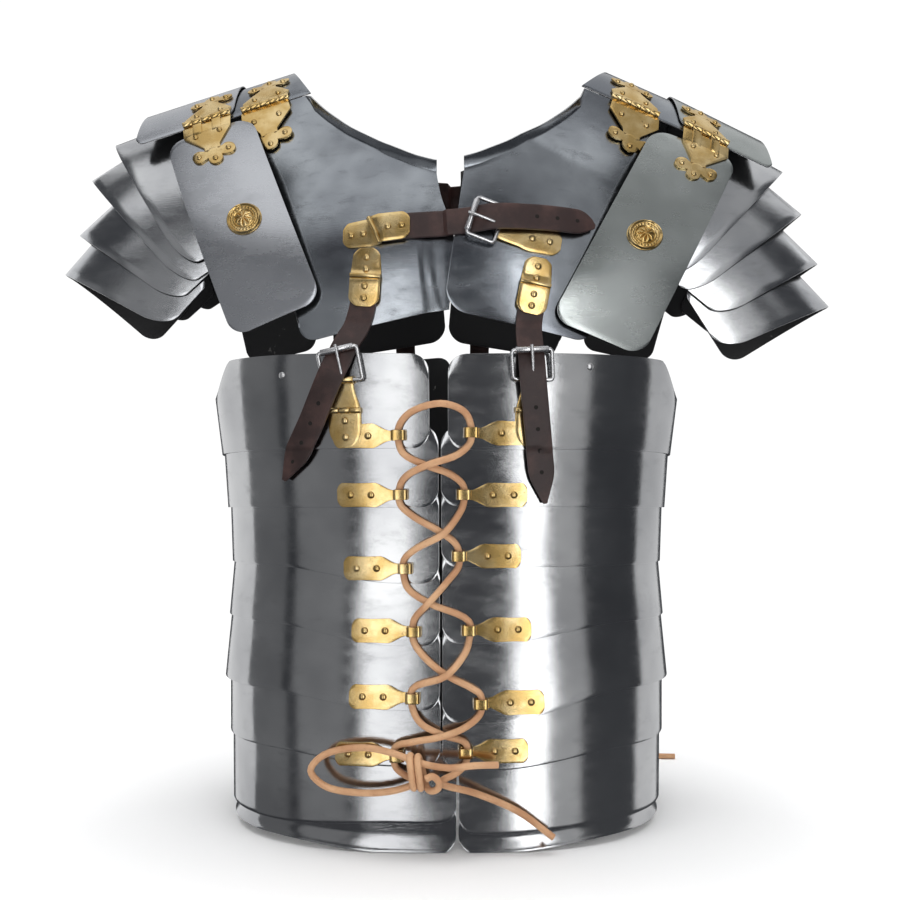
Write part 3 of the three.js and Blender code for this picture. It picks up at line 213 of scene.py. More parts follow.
tan_leather = lace_leather()
KNOT = [
    (-27, -157.5, 66), (-27.5, -160, 60), (-27.5, -166, 58.5), (-27.3, -172, 62), (-26.8, -174, 70.5),
    (-26.2, -172.5, 80), (-25.5, -166.5, 84), (-24.7, -160, 81), (-24, -157.5, 71), (-23, -160, 61),
    (-22.3, -166, 58.3), (-21.6, -172, 61.5), (-21, -174.3, 70), (-20.3, -173, 79), (-19.5, -167, 83.5),
    (-18.8, -161, 79), (-18.5, -159.5, 70), (-18, -163, 60), (-14.5, -170.5, 57.5), (-8.5, -173.5, 60),
    (-6.5, -174.5, 65.5), (-10.5, -175, 70), (-16, -174.5, 68),
]
wraps = threaded([(x - 0.2 * (z - 71), y, z) for x, y, z in KNOT])
knot = wire_rod("front_lace_knot", wraps, LACE_THICK / 2, False, 5)
knot.data.materials.append(tan_leather)
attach(knot, "armour")
for lace_name, lace_points, tied in (("front_lace", FRONT_LACE, (knot,)), ("back_lace", BACK_LACE, ())):
    route = threaded(lace_points)
    thong = wire_rod(lace_name + "_thong", route, LACE_THICK / 2, False, 5)
    thong.data.materials.append(tan_leather)
    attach(thong, "armour")
    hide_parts(lace_name)
    tuple(route[0] * MM)
    run_of(route) * MM

# Studio. A white floor that runs out into a white backdrop, and soft boxes: one just left of the camera
# and one further to its right, which draw the two upright bands on the hoops.
bpy.context.scene.view_settings.view_transform = "Standard"
bpy.ops.mesh.primitive_plane_add(size=12)
floor = bpy.context.object
floor.name = "studio_floor"
material, start, place = finish_named("studio_floor_white")
far = start.node("ShaderNodeVectorMath", {"operation": "LENGTH"}, {0: place}, "Value").rise(0.32, 1.0)
put_on(material, (0.92, 0.92, 0.92), 0.7, 0.0)
glow = start.node("ShaderNodeEmission", {}, {"Color": (1, 1, 1, 1), "Strength": 1.05})
painted = Wire(material.node_tree, material.node_tree.nodes["Principled BSDF"].outputs[0])
mixed = start.node("ShaderNodeMixShader", {}, {0: far, 1: painted, 2: glow})
material.node_tree.links.new(mixed.socket, material.node_tree.nodes["Material Output"].inputs[0])
floor.data.materials.append(material)
bpy.ops.mesh.primitive_uv_sphere_add(segments=48, ring_count=24, radius=5.9)
backdrop = bpy.context.object
backdrop.name = "studio_backdrop"
material, start, _ = finish_named("studio_backdrop_white")
glow = start.node("ShaderNodeEmission", {}, {"Color": (1, 1, 1, 1), "Strength": 1.05})
material.node_tree.links.new(glow.socket, material.node_tree.nodes["Material Output"].inputs[0])
backdrop.data.materials.append(material)
floor.visible_glossy = False
floor.visible_shadow = False
backdrop.visible_glossy = False
backdrop.visible_diffuse = False
backdrop.visible_shadow = False
world = bpy.context.scene.world or bpy.data.worlds.new("studio")
bpy.context.scene.world = world
world.use_nodes = True
world.node_tree.nodes["Background"].inputs["Color"].default_value = (0.075, 0.078, 0.085, 1)
world.node_tree.nodes["Background"].inputs["Strength"].default_value = 1.0


def soft_box(name, place, aim, width, height, watts, mirrored=True):
    bpy.ops.object.light_add(type="AREA", location=place)
    lamp = bpy.context.object
    lamp.name = name
    lamp.rotation_euler = (Vector(aim) - Vector(place)).to_track_quat("-Z", "Y").to_euler()
    lamp.data.shape = "RECTANGLE"
    lamp.data.size = width
    lamp.data.size_y = height
    lamp.data.energy = watts
    lamp.visible_glossy = mirrored


soft_box("box_left", (-0.45, -1.95, 0.3), (0, 0, 0.3), 0.52, 2.4, 7.6)
soft_box("box_right", (0.74, -1.86, 0.3), (0, 0, 0.3), 0.42, 2.4, 9.5)
soft_box("fill_left", (-1.29, -1.53, 0.3), (0, 0, 0.3), 1.0, 2.4, 1.7)
soft_box("fill_right", (1.20, -1.60, 0.3), (0, 0, 0.3), 0.6, 2.4, 2.2)
soft_box("side_left", (-1.95, -0.35, 0.3), (0, 0, 0.3), 1.3, 2.4, 1.3)
soft_box("wall_left", (-1.7, 1.0, 0.5), (0, 0, 0.3), 1.8, 2.4, 12)
soft_box("wall_right", (1.75, 0.9, 0.5), (0, 0, 0.3), 1.8, 2.4, 10)
soft_box("box_top", (-0.4, -0.9, 2.0), (0, 0, 0.5), 1.9, 1.3, 6.5)
soft_box("box_top_right", (1.1, -1.0, 2.0), (0, 0, 0.5), 1.1, 1.5, 1.9)
soft_box("box_over", (0.15, 0.7, 2.3), (0, 0, 0.5), 3.8, 2.0, 16)
soft_box("ceiling", (0, 0, 3.2), (0, 0, 0), 3.4, 3.4, 135, False)

# Girth. Eight steel half hoops a side, bright outside and black inside, each tucked under the one above.
# They are cut from sheet, rolled to a flattened round, and their corners and edges are filed. The edges get a
# lighter steel colour: partly bare filed steel, partly a painted highlight.
GIRTH = 206
GIRTH_FLATTER = 48
SECTION_POWER = 2.6
OVERLAP = 18
WALL = 1.2
HOOP_CORNER = 14
BACK_SEAM = {"left": -4, "right": 6}
HOOPS = [
    {"low": 1.0, "high": 1.029, "side": 326, "left": 326, "right": 325, "left_inner": 13, "right_inner": 1.6},
    {"low": 0.976, "high": 0.996, "side": 279, "left": 279, "right": 280, "left_inner": 6, "right_inner": -4},
    {"low": 0.957, "high": 0.967, "side": 231, "left": 218, "right": 231, "left_inner": 5.7, "right_inner": -3.9},
    {"low": 0.969, "high": 0.942, "side": 184, "left": 168, "right": 170, "left_inner": 5, "right_inner": -3.2},
    {"low": 0.986, "high": 0.952, "side": 129, "left": 117, "right": 107, "left_inner": 4.8, "right_inner": -3},
    {"low": 0.965, "high": 0.965, "side": 80, "left": 71, "right": 68, "left_inner": 4.6, "right_inner": -2.8},
    {"low": 0.952, "high": 0.9545, "side": 20, "left": 25, "right": 16, "left_inner": -9, "right_inner": 10.9},
    {"low": 0.92, "high": 0.9425, "side": 7, "left": 0, "right": 0, "left_inner": -9, "right_inner": 10.9},
]


def mix(a, b, share):
    return a + (b - a) * share


def ease(value, low, high):
    share = min(1, max(0, (value - low) / (high - low)))
    return share * share * (3 - 2 * share)


def signed_power(value, exponent):
    return math.copysign(abs(value) ** exponent, value)


def girth_point(side, angle, half_width, z):
    x = half_width * signed_power(math.cos(angle), 2 / SECTION_POWER)
    y = -(half_width - GIRTH_FLATTER) * signed_power(math.sin(angle), 2 / SECTION_POWER)
    return Vector((side * x, y, z))


def angle_at(x):
    return math.acos(signed_power(x / GIRTH, SECTION_POWER / 2))


def across_share(angle):
    return max(0, signed_power(math.cos(angle), 2 / SECTION_POWER))


def lower_edge(number, side_name, angle):
    hoop = HOOPS[number]
    return mix(hoop[side_name], hoop["side"], ease(across_share(angle), 0.2, 0.75))


def upper_edge(number, side_name, angle):
    if number > 0:
        return lower_edge(number - 1, side_name, angle) + OVERLAP
    x = across_share(angle)
    level = 400 + 4 * x if angle > 0 else 446 - 18 * x
    return mix(level, 376, ease(x, 0.86, 0.97))


def cut_back(distance, radius):
    if distance >= radius:
        return 0
    return radius - math.sqrt(radius * radius - (radius - distance) ** 2)


def hoop_columns(number, side_name):
    """Angles round one half hoop and how far its rounded corners draw the edges in there."""
    inner = HOOPS[number][side_name + "_inner"]
    ends = [s * HOOP_CORNER for s in (0, 0.02, 0.07, 0.16, 0.3, 0.48, 0.7, 1)]
    columns = [(angle_at(inner + d), cut_back(d, HOOP_CORNER)) for d in ends]
    last = columns[-1][0]
    behind = BACK_SEAM[side_name] if number < 6 else inner
    back_columns = [(-angle_at(behind + d), cut_back(d, HOOP_CORNER)) for d in reversed(ends)]
    sweep = [(mix(last, back_columns[0][0], k / 84), 0) for k in range(1, 84)]
    return columns + sweep + back_columns


def hoop_width(number, angle, side_name, z):
    hoop = HOOPS[number]
    low, high = lower_edge(number, side_name, angle), upper_edge(number, side_name, angle)
    width = GIRTH * mix(hoop["low"], hoop["high"], (z - low) / (high - low))
    if number == len(HOOPS) - 1:
        width += 5 * max(0, 1 - max(0, z - low) / 9) ** 1.6
    return width


def hoop_point(side, side_name, number, x, z, y_sign):
    angle = -y_sign * angle_at(x)
    return girth_point(side, angle, hoop_width(number, angle, side_name, z), z)


def alone(piece):
    bpy.ops.object.select_all(action="DESELECT")
    piece.select_set(True)
    bpy.context.view_layer.objects.active = piece


def whole_mesh(action, **settings):
    """Runs an edit-mode operator on all of the active piece."""
    bpy.ops.object.mode_set(mode="EDIT")
    bpy.ops.mesh.select_all(action="SELECT")
    action(**settings)
    bpy.ops.object.mode_set(mode="OBJECT")


def flat_blank(name, columns, rows, place, away_from, welded=False):
    """Blank of sheet metal or hide: a grid whose points are bent to place(u, v), in millimetres."""
    bpy.ops.object.select_all(action="DESELECT")
    bpy.ops.mesh.primitive_grid_add(x_subdivisions=columns, y_subdivisions=rows, size=2)
    blank = bpy.context.object
    blank.name = blank.data.name = name
    for point in blank.data.vertices:
        u = min(1, max(0, (point.co.x + 1) / 2))
        v = min(1, max(0, (point.co.y + 1) / 2))
        point.co = place(u, v) * MM
    if welded:
        whole_mesh(bpy.ops.mesh.remove_doubles, threshold=0.00002)
    blank.data.update()
    middle = blank.data.polygons[len(blank.data.polygons) // 2 + columns // 2]
    if middle.normal.dot(middle.center - Vector(away_from) * MM) < 0:
        whole_mesh(bpy.ops.mesh.flip_normals)
    return blank


def apply_all(piece):
    alone(piece)
    for change in [m.name for m in piece.modifiers]:
        bpy.ops.object.modifier_apply(modifier=change)


def thicken(blank, wall, skins, filed=0.25, angle=50, lift=0.0):
    """Gives a blank its wall inwards, its finishes outside, inside and at the rim, and filed edges."""
    for skin in skins:
        blank.data.materials.append(skin)
    alone(blank)
    if lift:
        raise_by = blank.modifiers.new("raise", "DISPLACE")
        raise_by.strength = lift * MM
        raise_by.mid_level = 0
    shell = blank.modifiers.new("wall", "SOLIDIFY")
    shell.thickness = wall * MM
    shell.offset = -1
    shell.material_offset = min(1, len(skins) - 1)
    shell.material_offset_rim = min(2, len(skins) - 1)
    if filed:
        edge = blank.modifiers.new("filed", "BEVEL")
        edge.width = filed * MM
        edge.segments = 2
        edge.limit_method = "ANGLE"
        edge.angle_limit = math.radians(angle)
    apply_all(blank)
    bpy.ops.object.shade_smooth_by_angle(angle=math.radians(40))
    return blank


def joined(name, parts):
    """Brazes several parts into one piece."""
    bpy.ops.object.select_all(action="DESELECT")
    for part in parts:
        part.select_set(True)
    bpy.context.view_layer.objects.active = parts[0]
    if len(parts) > 1:
        bpy.ops.object.join()
    parts[0].name = parts[0].data.name = name
    return parts[0]


def steel_finish(name, dark, light, cloud=9.0, wear=0.5, offset=(0, 0, 0), rough=0.055):
    """Bright sheet steel: slow grey clouds, fine rubbing marks and a slightly uneven face."""
    material, start, place = finish_named(name)
    place = start.node("ShaderNodeMapping", {}, {"Vector": place, "Location": offset})
    clouds = start.noise(place, cloud, 3, 0.55)
    smear = start.noise(start.stretch(place, (1.0, 1.0, 2.6)), cloud * 4, 4, 0.6)
    rubbed = start.noise(start.stretch(place, (1.0, 1.0, 14.0)), 130, 3, 0.6)
    specks = start.noise(place, 700, 2, 0.5)
    base = start.blend(clouds.rise(0.32, 0.7), dark, light)
    base = start.blend(smear.rise(0.55, 0.8) * 0.5 * wear, base, tuple(0.62 * c for c in dark))
    base = start.blend(specks.rise(0.66, 0.76) * 0.35 * wear, base, tuple(0.5 * c for c in dark))
    roughness = rough + 0.06 * clouds + 0.08 * smear.rise(0.4, 0.75) + 0.06 * rubbed
    relief = 0.07 * rubbed + 2.4 * start.noise(place, 11, 2, 0.4) + 0.02 * specks
    return put_on(material, base, roughness, 1.0, relief, 0.5, 0.0011)


def black_finish():
    material, start, place = finish_named("black_inner_paint")
    chips = start.noise(place, 90, 5, 0.65)
    worn = chips.rise(0.66, 0.69) * start.noise(place, 12, 2).rise(0.5, 0.6)
    base = start.blend(worn, (0.010, 0.010, 0.011), (0.30, 0.29, 0.28))
    return put_on(material, base, 0.62 - 0.25 * worn, worn * 0.9, start.noise(place, 500, 3), 0.25, 0.0004)


# Rim steel, lighter than the faces: partly bare filed steel, partly a painted highlight along every edge.
def edge_finish_with_painted_highlight():
    material, start, place = finish_named("filed_steel_edge")
    marks = start.noise(start.stretch(place, (1, 1, 9)), 260, 3)
    base = start.blend(marks.rise(0.35, 0.65), (0.62, 0.62, 0.63), (0.86, 0.86, 0.86))
    return put_on(material, base, 0.26 + 0.14 * marks, 1.0, marks, 0.3, 0.0002)


def brass_finish():
    """Sheet brass, ground and polished: swirled scratches, a few brown spots and a slightly uneven face."""
    material, start, place = finish_named("polished_brass")
    clouds = start.noise(place, 55, 3)
    ground = start.noise(start.stretch(place, (1, 1, 7)), 420, 4, 0.65)
    crossed = start.noise(start.stretch(place, (6, 1, 1)), 380, 3, 0.6)
    base = start.blend(clouds.rise(0.35, 0.7), (0.62, 0.42, 0.155), (0.86, 0.66, 0.34))
    base = start.blend(start.noise(place, 240, 4, 0.7).rise(0.62, 0.74) * 0.55, base, (0.26, 0.15, 0.06))
    roughness = 0.12 + 0.10 * ground + 0.08 * crossed
    relief = ground * 0.35 + crossed * 0.25 + 4.5 * start.noise(place, 36, 1, 0.3)
    return put_on(material, base, roughness, 1.0, relief, 0.4, 0.00018)


hoop_steel = steel_finish("hoop_steel", (0.36, 0.365, 0.375), (0.52, 0.525, 0.53))
inner_black = black_finish()
filed_steel_with_painted_highlight = edge_finish_with_painted_highlight()
brass = brass_finish()
SIDES = {"left": -1, "right": 1}
for side_name, side in SIDES.items():
    for number in range(len(HOOPS)):
        columns = hoop_columns(number, side_name)

        def hoop_face(u, v):
            angle, inset = columns[round(u * (len(columns) - 1))]
            low = max(0.7, lower_edge(number, side_name, angle) + inset)
            high = upper_edge(number, side_name, angle) - inset
            z = mix(low, high, v**1.5)
            return girth_point(side, angle, hoop_width(number, angle, side_name, z), z)

        blank = flat_blank(f"{side_name}_girth_{number + 1}", len(columns) - 1, 8, hoop_face, (0, 0, 200))
        plate = thicken(blank, WALL, [hoop_steel, inner_black, filed_steel_with_painted_highlight])
        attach(plate, "armour")
        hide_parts(f"{side_name}_hoop_{number + 1}")

# Tie hooks. A brass plate is held on each of the upper six hoops, in front and behind, by two domed
# rivets; its narrow end is folded into an eye round the lace.
HOOKS = [
    {"left": 31.5, "left_up": 10, "right": 14, "right_up": 13},
    {"left": 31, "left_up": 10, "right": 8.5, "right_up": 9},
    {"left": 28, "left_up": 12, "right": 5, "right_up": 9},
    {"left": 20.5, "left_up": 12, "right": 13, "right_up": 11},
    {"left": 21, "left_up": 10.5, "right": 22.5, "right_up": 16},
    {"left": 34.5, "left_up": 9.5, "right": 10.5, "right_up": 15.5},
]
HOOK_LENGTH = 58
HOOK_RIVETS = (11, 28)
EYE_LENGTH = 12
EYE_HEIGHT = 8
EYE_CLEAR = 2.6
EYE_WALL = 1.1
BRASS_SHEET = 1.5


def seat(place, a, b, away_from):
    """Point of a face, its direction along a and its outward direction."""
    right = (place(a + 0.4, b) - place(a - 0.4, b)).normalized()
    out = right.cross(place(a, b + 0.4) - place(a, b - 0.4)).normalized()
    here = place(a, b)
    return here, right, out if out.dot(here - Vector(away_from)) > 0 else -out


def pressed(piece, place, away_from):
    """Presses a flat piece onto a face: X and Y become places on the face and Z stands out from it."""
    for point in piece.data.vertices:
        a, b, height = point.co / MM
        here, _, out = seat(place, a, b, away_from)
        point.co = (here + out * height) * MM
    alone(piece)
    whole_mesh(bpy.ops.mesh.normals_make_consistent, inside=False)
    return piece


def flat_leaf(name, half_at, start, end, columns=8, rows=24, filed=0.3, lift=0.0):
    """Flat leaf of sheet brass along Y, from start to end, with its half width from half_at(y)."""

    def face(u, v):
        y = mix(start, end, 0.5 - 0.5 * math.cos(math.pi * v))
        return Vector(((2 * u - 1) * half_at(y), y, BRASS_SHEET + lift))

    return thicken(flat_blank(name, columns, rows, face, (0, 0, -50)), BRASS_SHEET, [brass], filed)


def flat_round(name, reach_at, height_at, centre, skins, rings, spokes, wall, filed=0.0):
    """Round or lobed leaf about a centre, outline reach_at(turn) and relief height_at(share, turn)."""

    def face(u, v):
        turn = 2 * math.pi * u
        reach = reach_at(turn) * v
        x, y = centre[0] + reach * math.cos(turn), centre[1] + reach * math.sin(turn)
        return Vector((x, y, height_at(v, turn)))

    blank = flat_blank(name, spokes, rings, face, (0, 0, -50), True)
    return thicken(blank, wall, skins, filed)


def rivet_head(name, radius, height, skin):
    """Domed rivet head over a thin rim, lying on the XY plane."""
    bpy.ops.object.select_all(action="DESELECT")
    bpy.ops.mesh.primitive_uv_sphere_add(segments=14, ring_count=10, radius=radius * MM)
    head = bpy.context.object
    head.name = head.data.name = name
    bpy.ops.object.mode_set(mode="EDIT")
    bpy.ops.mesh.select_all(action="SELECT")
    plane = {"plane_co": (0, 0, 0), "plane_no": (0, 0, 1)}
    bpy.ops.mesh.bisect(clear_inner=True, use_fill=True, threshold=0.00001, **plane)
    bpy.ops.object.mode_set(mode="OBJECT")
    for point in head.data.vertices:
        point.co.z *= height / radius
    head.data.materials.append(skin)
    bpy.ops.object.shade_smooth_by_angle(angle=math.radians(50))
    return head


def copy_of(model, name):
    made = model.copy()
    made.data = model.data.copy()
    made.name = made.data.name = name
    bpy.context.scene.collection.objects.link(made)
    return made


def set_on(piece, here, right, out):
    """Puts a copy down at a point, its X along right and its Z along out."""
    up = out.cross(right).normalized()
    turn = Matrix((right, up, out)).transposed().to_4x4()
    piece.data.transform(Matrix.Translation(here * MM) @ turn)
    return piece


dome = rivet_head("dome_model", 3.0, 1.9, brass)
small_dome = rivet_head("small_dome_model", 2.7, 1.8, brass)


def riveted(model, name, place, spots, away_from, lift):
    """Copies of a rivet head at spots of a face, standing lift above it."""
    heads = []
    for k, (a, b) in enumerate(spots):
        here, right, out = seat(place, a, b, away_from)
        heads.append(set_on(copy_of(model, f"{name}_rivet_{k}"), here + out * lift, right, out))
    return heads


def hook_half(along):
    if along < 6:
        return 3 + 7 * math.sqrt(1 - (1 - along / 6) ** 2)
    waist = 10 - 0.5 * math.sin(math.pi * min(1, along / 32))
    return mix(waist, 4, ease(along, 30, 46))


def folded_eye(name, centre, y_sign):
    """Closed band of brass round the lace."""
    half_x, half_y, bend = EYE_LENGTH / 2, (LACE_THICK + EYE_CLEAR) / 2 + EYE_WALL, 3.0

    def band(u, v):
        turn = 2 * math.pi * u
        dx, dy = math.cos(turn), math.sin(turn)
        x = math.copysign(half_x - bend, dx) * min(1, abs(dx) * 2.4) + bend * dx
        y = math.copysign(half_y - bend, dy) * min(1, abs(dy) * 2.4) + bend * dy
        return centre + Vector((x, y * y_sign, (v - 0.5) * EYE_HEIGHT))

    blank = flat_blank(name, 48, 3, band, tuple(centre), True)
    return thicken(blank, EYE_WALL, [brass], 0.3, 60)


for side_name, side in SIDES.items():
    for number, hook in enumerate(HOOKS):
        parts = []
        for y_sign, face_name in ((-1, "front"), (1, "back")):
            outer = hook[side_name] + HOOK_LENGTH
            middle_z = HOOPS[number][side_name] + hook[side_name + "_up"]

            def on_hoop(across, along):
                return hoop_point(side, side_name, number, outer - along, middle_z + across, y_sign)

            name = f"{side_name}_hook_{number + 1}_{face_name}"
            leaf = flat_leaf(name + "_leaf", hook_half, 0, 51, 6, 26)
            parts.append(pressed(leaf, on_hoop, (0, 0, middle_z)))
            covered = number == 0 and y_sign < 0
            spots = [(0, along) for along in HOOK_RIVETS[1 if covered else 0 :]]
            parts += riveted(dome, name, on_hoop, spots, (0, 0, middle_z), 1.4)
            centre = on_hoop(0, HOOK_LENGTH - EYE_LENGTH / 2)
            centre.y += y_sign * (0.5 + (LACE_THICK + EYE_CLEAR) / 2)
            parts.append(folded_eye(name + "_eye", centre, y_sign))
        fitted = joined(f"{side_name}_tie_hooks_{number + 1}", parts)
        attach(fitted, "armour")

# Strap plates. A brass leaf riveted over the top tie hook on each side, with a small barrel, runs up to a
# rolled end that holds the bar of the strap's buckle.
STRAP_PLATE = {"left": 79.5, "right": 67.5}
STRAP_BARREL_Z = 356
STRAP_ROLL_Z = 380
STRAP_ROLL_PROUD = 4.4
STRAP_LEAF_FOOT = 327
STRAP_LEAF_ROUND = 15
STRAP_LEAF_HALF = 13


def rod(name, start, end, radius, skin, filed=0.3, sides=28):
    """Round bar with filed ends between two places."""
    run = Vector(end) - Vector(start)
    bpy.ops.object.select_all(action="DESELECT")
    bpy.ops.mesh.primitive_cylinder_add(vertices=sides, radius=radius * MM, depth=run.length * MM)
    bar = bpy.context.object
    bar.name = bar.data.name = name
    turn = run.to_track_quat("Z", "Y").to_matrix().to_4x4()
    bar.data.transform(Matrix.Translation((Vector(start) + run / 2) * MM) @ turn)
    bar.data.materials.append(skin)
    edge = bar.modifiers.new("filed", "BEVEL")
    edge.width = filed * MM
    edge.segments = 2
    edge.limit_method = "ANGLE"
    apply_all(bar)
    bpy.ops.object.shade_smooth_by_angle(angle=math.radians(40))
    return bar


def strap_leaf_half(z):
    shoulder_z = STRAP_LEAF_FOOT + STRAP_LEAF_ROUND
    if z < shoulder_z:
        share = (shoulder_z - z) / (STRAP_LEAF_ROUND + 0.2)
        return STRAP_LEAF_HALF * math.sqrt(max(0.03, 1 - share**2))
    return STRAP_LEAF_HALF


def upper_leaf_half(z):
    return mix(12.5, 8, ease(z, STRAP_BARREL_Z, 376))


for side_name, side in SIDES.items():
    middle = STRAP_PLATE[side_name]

    def on_top_hoop(across, z):
        return hoop_point(side, side_name, 0, middle + across, z, -1)

    name = f"{side_name}_strap_plate"
    inside = (0, 0, STRAP_BARREL_Z)
    lower = flat_leaf(name + "_lower", strap_leaf_half, STRAP_LEAF_FOOT, STRAP_BARREL_Z, 8, 20, 0.3, 0.15)
    upper = flat_leaf(name + "_upper", upper_leaf_half, STRAP_BARREL_Z + 1, STRAP_ROLL_Z - 1, 8, 12, 0.3, 0.6)
    parts = [pressed(lower, on_top_hoop, inside), pressed(upper, on_top_hoop, inside)]
    parts += riveted(dome, name, on_top_hoop, [(0, 348), (0, 335)], inside, 1.6)
    for k, (left, right) in enumerate(((-13, -4.7), (-4.2, 4.2), (4.7, 13))):
        ends = [on_top_hoop(across, STRAP_BARREL_Z) + Vector((0, -2.9, 0)) for across in (left, right)]
        parts.append(rod(f"{name}_barrel_{k}", ends[0], ends[1], 2.4, brass))
    ends = [on_top_hoop(across, STRAP_ROLL_Z) + Vector((0, -STRAP_ROLL_PROUD, 0)) for across in (-8, 8)]
    parts.append(rod(name + "_roll", ends[0], ends[1], 3.0, brass, 0.5))
    plate = joined(name, parts)
    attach(plate, "armour")

# Steel rivets. One small domed steel rivet near the upper edge of each top hoop, in front and behind,
# which holds the inner leathers of the girth.
TOP_RIVETS = {"left": ((-1, 130, 386), (1, 118, 420)), "right": ((-1, 113, 392), (1, 118, 420))}
# The steel rivet heads use the same lighter rim steel, partly a painted highlight.
steel_dome = rivet_head("steel_dome_model", 2.9, 1.4, filed_steel_with_painted_highlight)
for side_name, side in SIDES.items():
    heads = []
    for y_sign, x, z in TOP_RIVETS[side_name]:

        def near_top(across, up):
            return hoop_point(side, side_name, 0, across, up, y_sign)

        heads += riveted(steel_dome, f"{side_name}_top_{y_sign}", near_top, [(x, z)], (0, 0, 390), 0.0)
    rivets = joined(f"{side_name}_steel_rivets", heads)
    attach(rivets, "armour")
bpy.data.objects.remove(steel_dome)

# Breastplates and back plates. Pairs of steel plates, darker and more smeared by handling than the hoops,
# shaped to the chest, with the neck edge turned out. The left breastplate reaches a little under the right
# one.
ARCH_DEPTH = 87
ARCH_DROP = 133
ARCH_ANGLE = 50
NECK_TOP = 686
CHEST_DEPTH = 152
CHEST_HALF = 214
PLATE_CORNER = 16
FLANGE = 9
FLANGE_OUT = 6
CHEST_PROFILE = [(0, 0.547), (40, 0.66), (80, 0.77), (120, 0.86), (160, 0.93), (200, 0.975), (250, 1.0)]
NECK_EDGE = [(8, 562), (26, 568), (52, 581), (82, 602), (105, 623), (120, 640)]
BACK_NECK_EDGE = [(15, 634), (34, 641), (60, 646), (92, 650), (120, 656)]
UNDER_ROWS = [(0, 4), (0.18, 8), (0.4, 12), (0.6, 11), (0.8, 3), (1, 0)]
UNDER_TUCK = 1.7
SHOULDERS = {
    "left": {
        "side": -1, "slope": 0.32, "neck": 144, "hinge_from": 138, "guard_hinge": 211,
        "guard": (189, 673.5, 276, 645),
        "front": ((171, -74, 622), (247, -70, 598), (100, -146, 447), (175, -130, 418)),
        "back": ((171, 74, 622), (247, 70, 598), (140, 138, 452), (213, 124, 432)),
    },
    "right": {
        "side": 1, "slope": 0.44, "neck": 152, "hinge_from": 145, "guard_hinge": 229,
        "guard": (208, 663.9, 290, 623.4),
        "front": ((182, -74, 612), (257, -70, 584), (84, -150, 431), (160, -135, 402)),
        "back": ((182, 74, 612), (257, 70, 584), (146, 138, 452), (219, 124, 434)),
    },
}


def read_off(rows, x):
    """Value at x from a table of pairs, with straight runs between them."""
    i = 1
    while i < len(rows) - 1 and rows[i][0] < x:
        i += 1
    share = (x - rows[i - 1][0]) / (rows[i][0] - rows[i - 1][0])
    return mix(rows[i - 1][1], rows[i][1], min(1, max(0, share)))


def read_smooth(rows, x, reach):
    """The same, with the corners of the table rounded over a reach."""
    return sum(read_off(rows, x + reach * s) for s in (-1, -0.6, -0.2, 0.2, 0.6, 1)) / 6


def arch_point(x, angle, ridge, lift=0.0):
    y = (ARCH_DEPTH + lift) * math.sin(math.radians(angle))
    return Vector((x, y, ridge + lift - (ARCH_DROP + lift) * (1 - math.cos(math.radians(angle)))))


def collar_ridge(shoulder, x):
    return NECK_TOP - shoulder["slope"] * (x - shoulder["neck"])


def hinge_line(shoulder, x):
    return arch_point(x, ARCH_ANGLE, collar_ridge(shoulder, x)).z


def chest_depth(shoulder, x, z):
    drop = max(0, hinge_line(shoulder, x) - z)
    full = CHEST_DEPTH * read_smooth(CHEST_PROFILE, max(12, drop), 12)
    if drop < 12:
        full = CHEST_DEPTH * mix(0.547, read_smooth(CHEST_PROFILE, 12, 12), drop / 12)
    rounded = (1 - min(0.97, x / CHEST_HALF) ** SECTION_POWER) ** (1 / SECTION_POWER)
    hinge_share = ARCH_DEPTH * math.sin(math.radians(ARCH_ANGLE)) / (CHEST_DEPTH * CHEST_PROFILE[0][1])
    return full * mix(hinge_share, rounded, min(1, drop / 90))


def chest_point(shoulder, x, z, y_sign=-1):
    return Vector((x, y_sign * chest_depth(shoulder, x, z), z))


def on_side(point, side):
    return Vector((side * point.x, point.y, point.z))


def chest_face(shoulder, y_sign, low_in, low_out, inner_low, inner_top, neck_edge):
    outer_top = shoulder["hinge_from"] + 38
    outer_low = 120
    reaches = shoulder["side"] < 0 and y_sign < 0

    def face(along, v):
        u = 0.5 - 0.5 * math.cos(math.pi * along)
        top_x = mix(inner_top, outer_top, u)
        seam = hinge_line(shoulder, top_x) - 1.5
        is_neck = ease(neck_edge[-1][0] - top_x, -3, 3)
        top = mix(seam, min(read_smooth(neck_edge, top_x, 5), seam), is_neck)
        base = top - mix(3, FLANGE, is_neck)
        low_x = mix(inner_low, outer_low, u)
        cut = min(PLATE_CORNER if reaches else low_x - inner_low, outer_low - low_x)
        low = mix(low_in, low_out, u) + cut_back(max(0, cut), PLATE_CORNER)
        near = max(0, 1 - u / 0.12) if reaches else 0
        up = min(1, v / 0.84)
        under = near * read_smooth(UNDER_ROWS, up, 0.06)
        lip = max(0, (v - 0.84) / 0.16)
        x = mix(low_x, top_x, up) - under
        z = mix(low, base, up) + (top - base) * lip
        point = chest_point(shoulder, abs(x), z, y_sign)
        point.x = x
        point.y += y_sign * (FLANGE_OUT * is_neck * lip**1.7 - UNDER_TUCK * min(1, under / 3))
        return on_side(point, shoulder["side"])

    return face


chest_steel = steel_finish(
    "chest_steel", (0.21, 0.225, 0.25), (0.43, 0.46, 0.49), 11.0, 0.9, (0.37, 0.1, 0.22), 0.14
)
for side_name, shoulder in SHOULDERS.items():
    inner_low, inner_top = (1.6, 8) if side_name == "left" else (0.4, 15)
    front = chest_face(shoulder, -1, 438, 412, inner_low, inner_top, NECK_EDGE)
    back = chest_face(shoulder, 1, 462, 441, 2, 15, BACK_NECK_EDGE)
    for face, node in ((front, f"{side_name}_breastplate"), (back, f"{side_name}_back_plate")):
        blank = flat_blank(node + "_sheet", 56, 44, face, (shoulder["side"] * 80, 0, 520))
        plate = thicken(blank, WALL, [chest_steel, inner_black, filed_steel_with_painted_highlight])
        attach(plate, "armour")
        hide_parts(node)

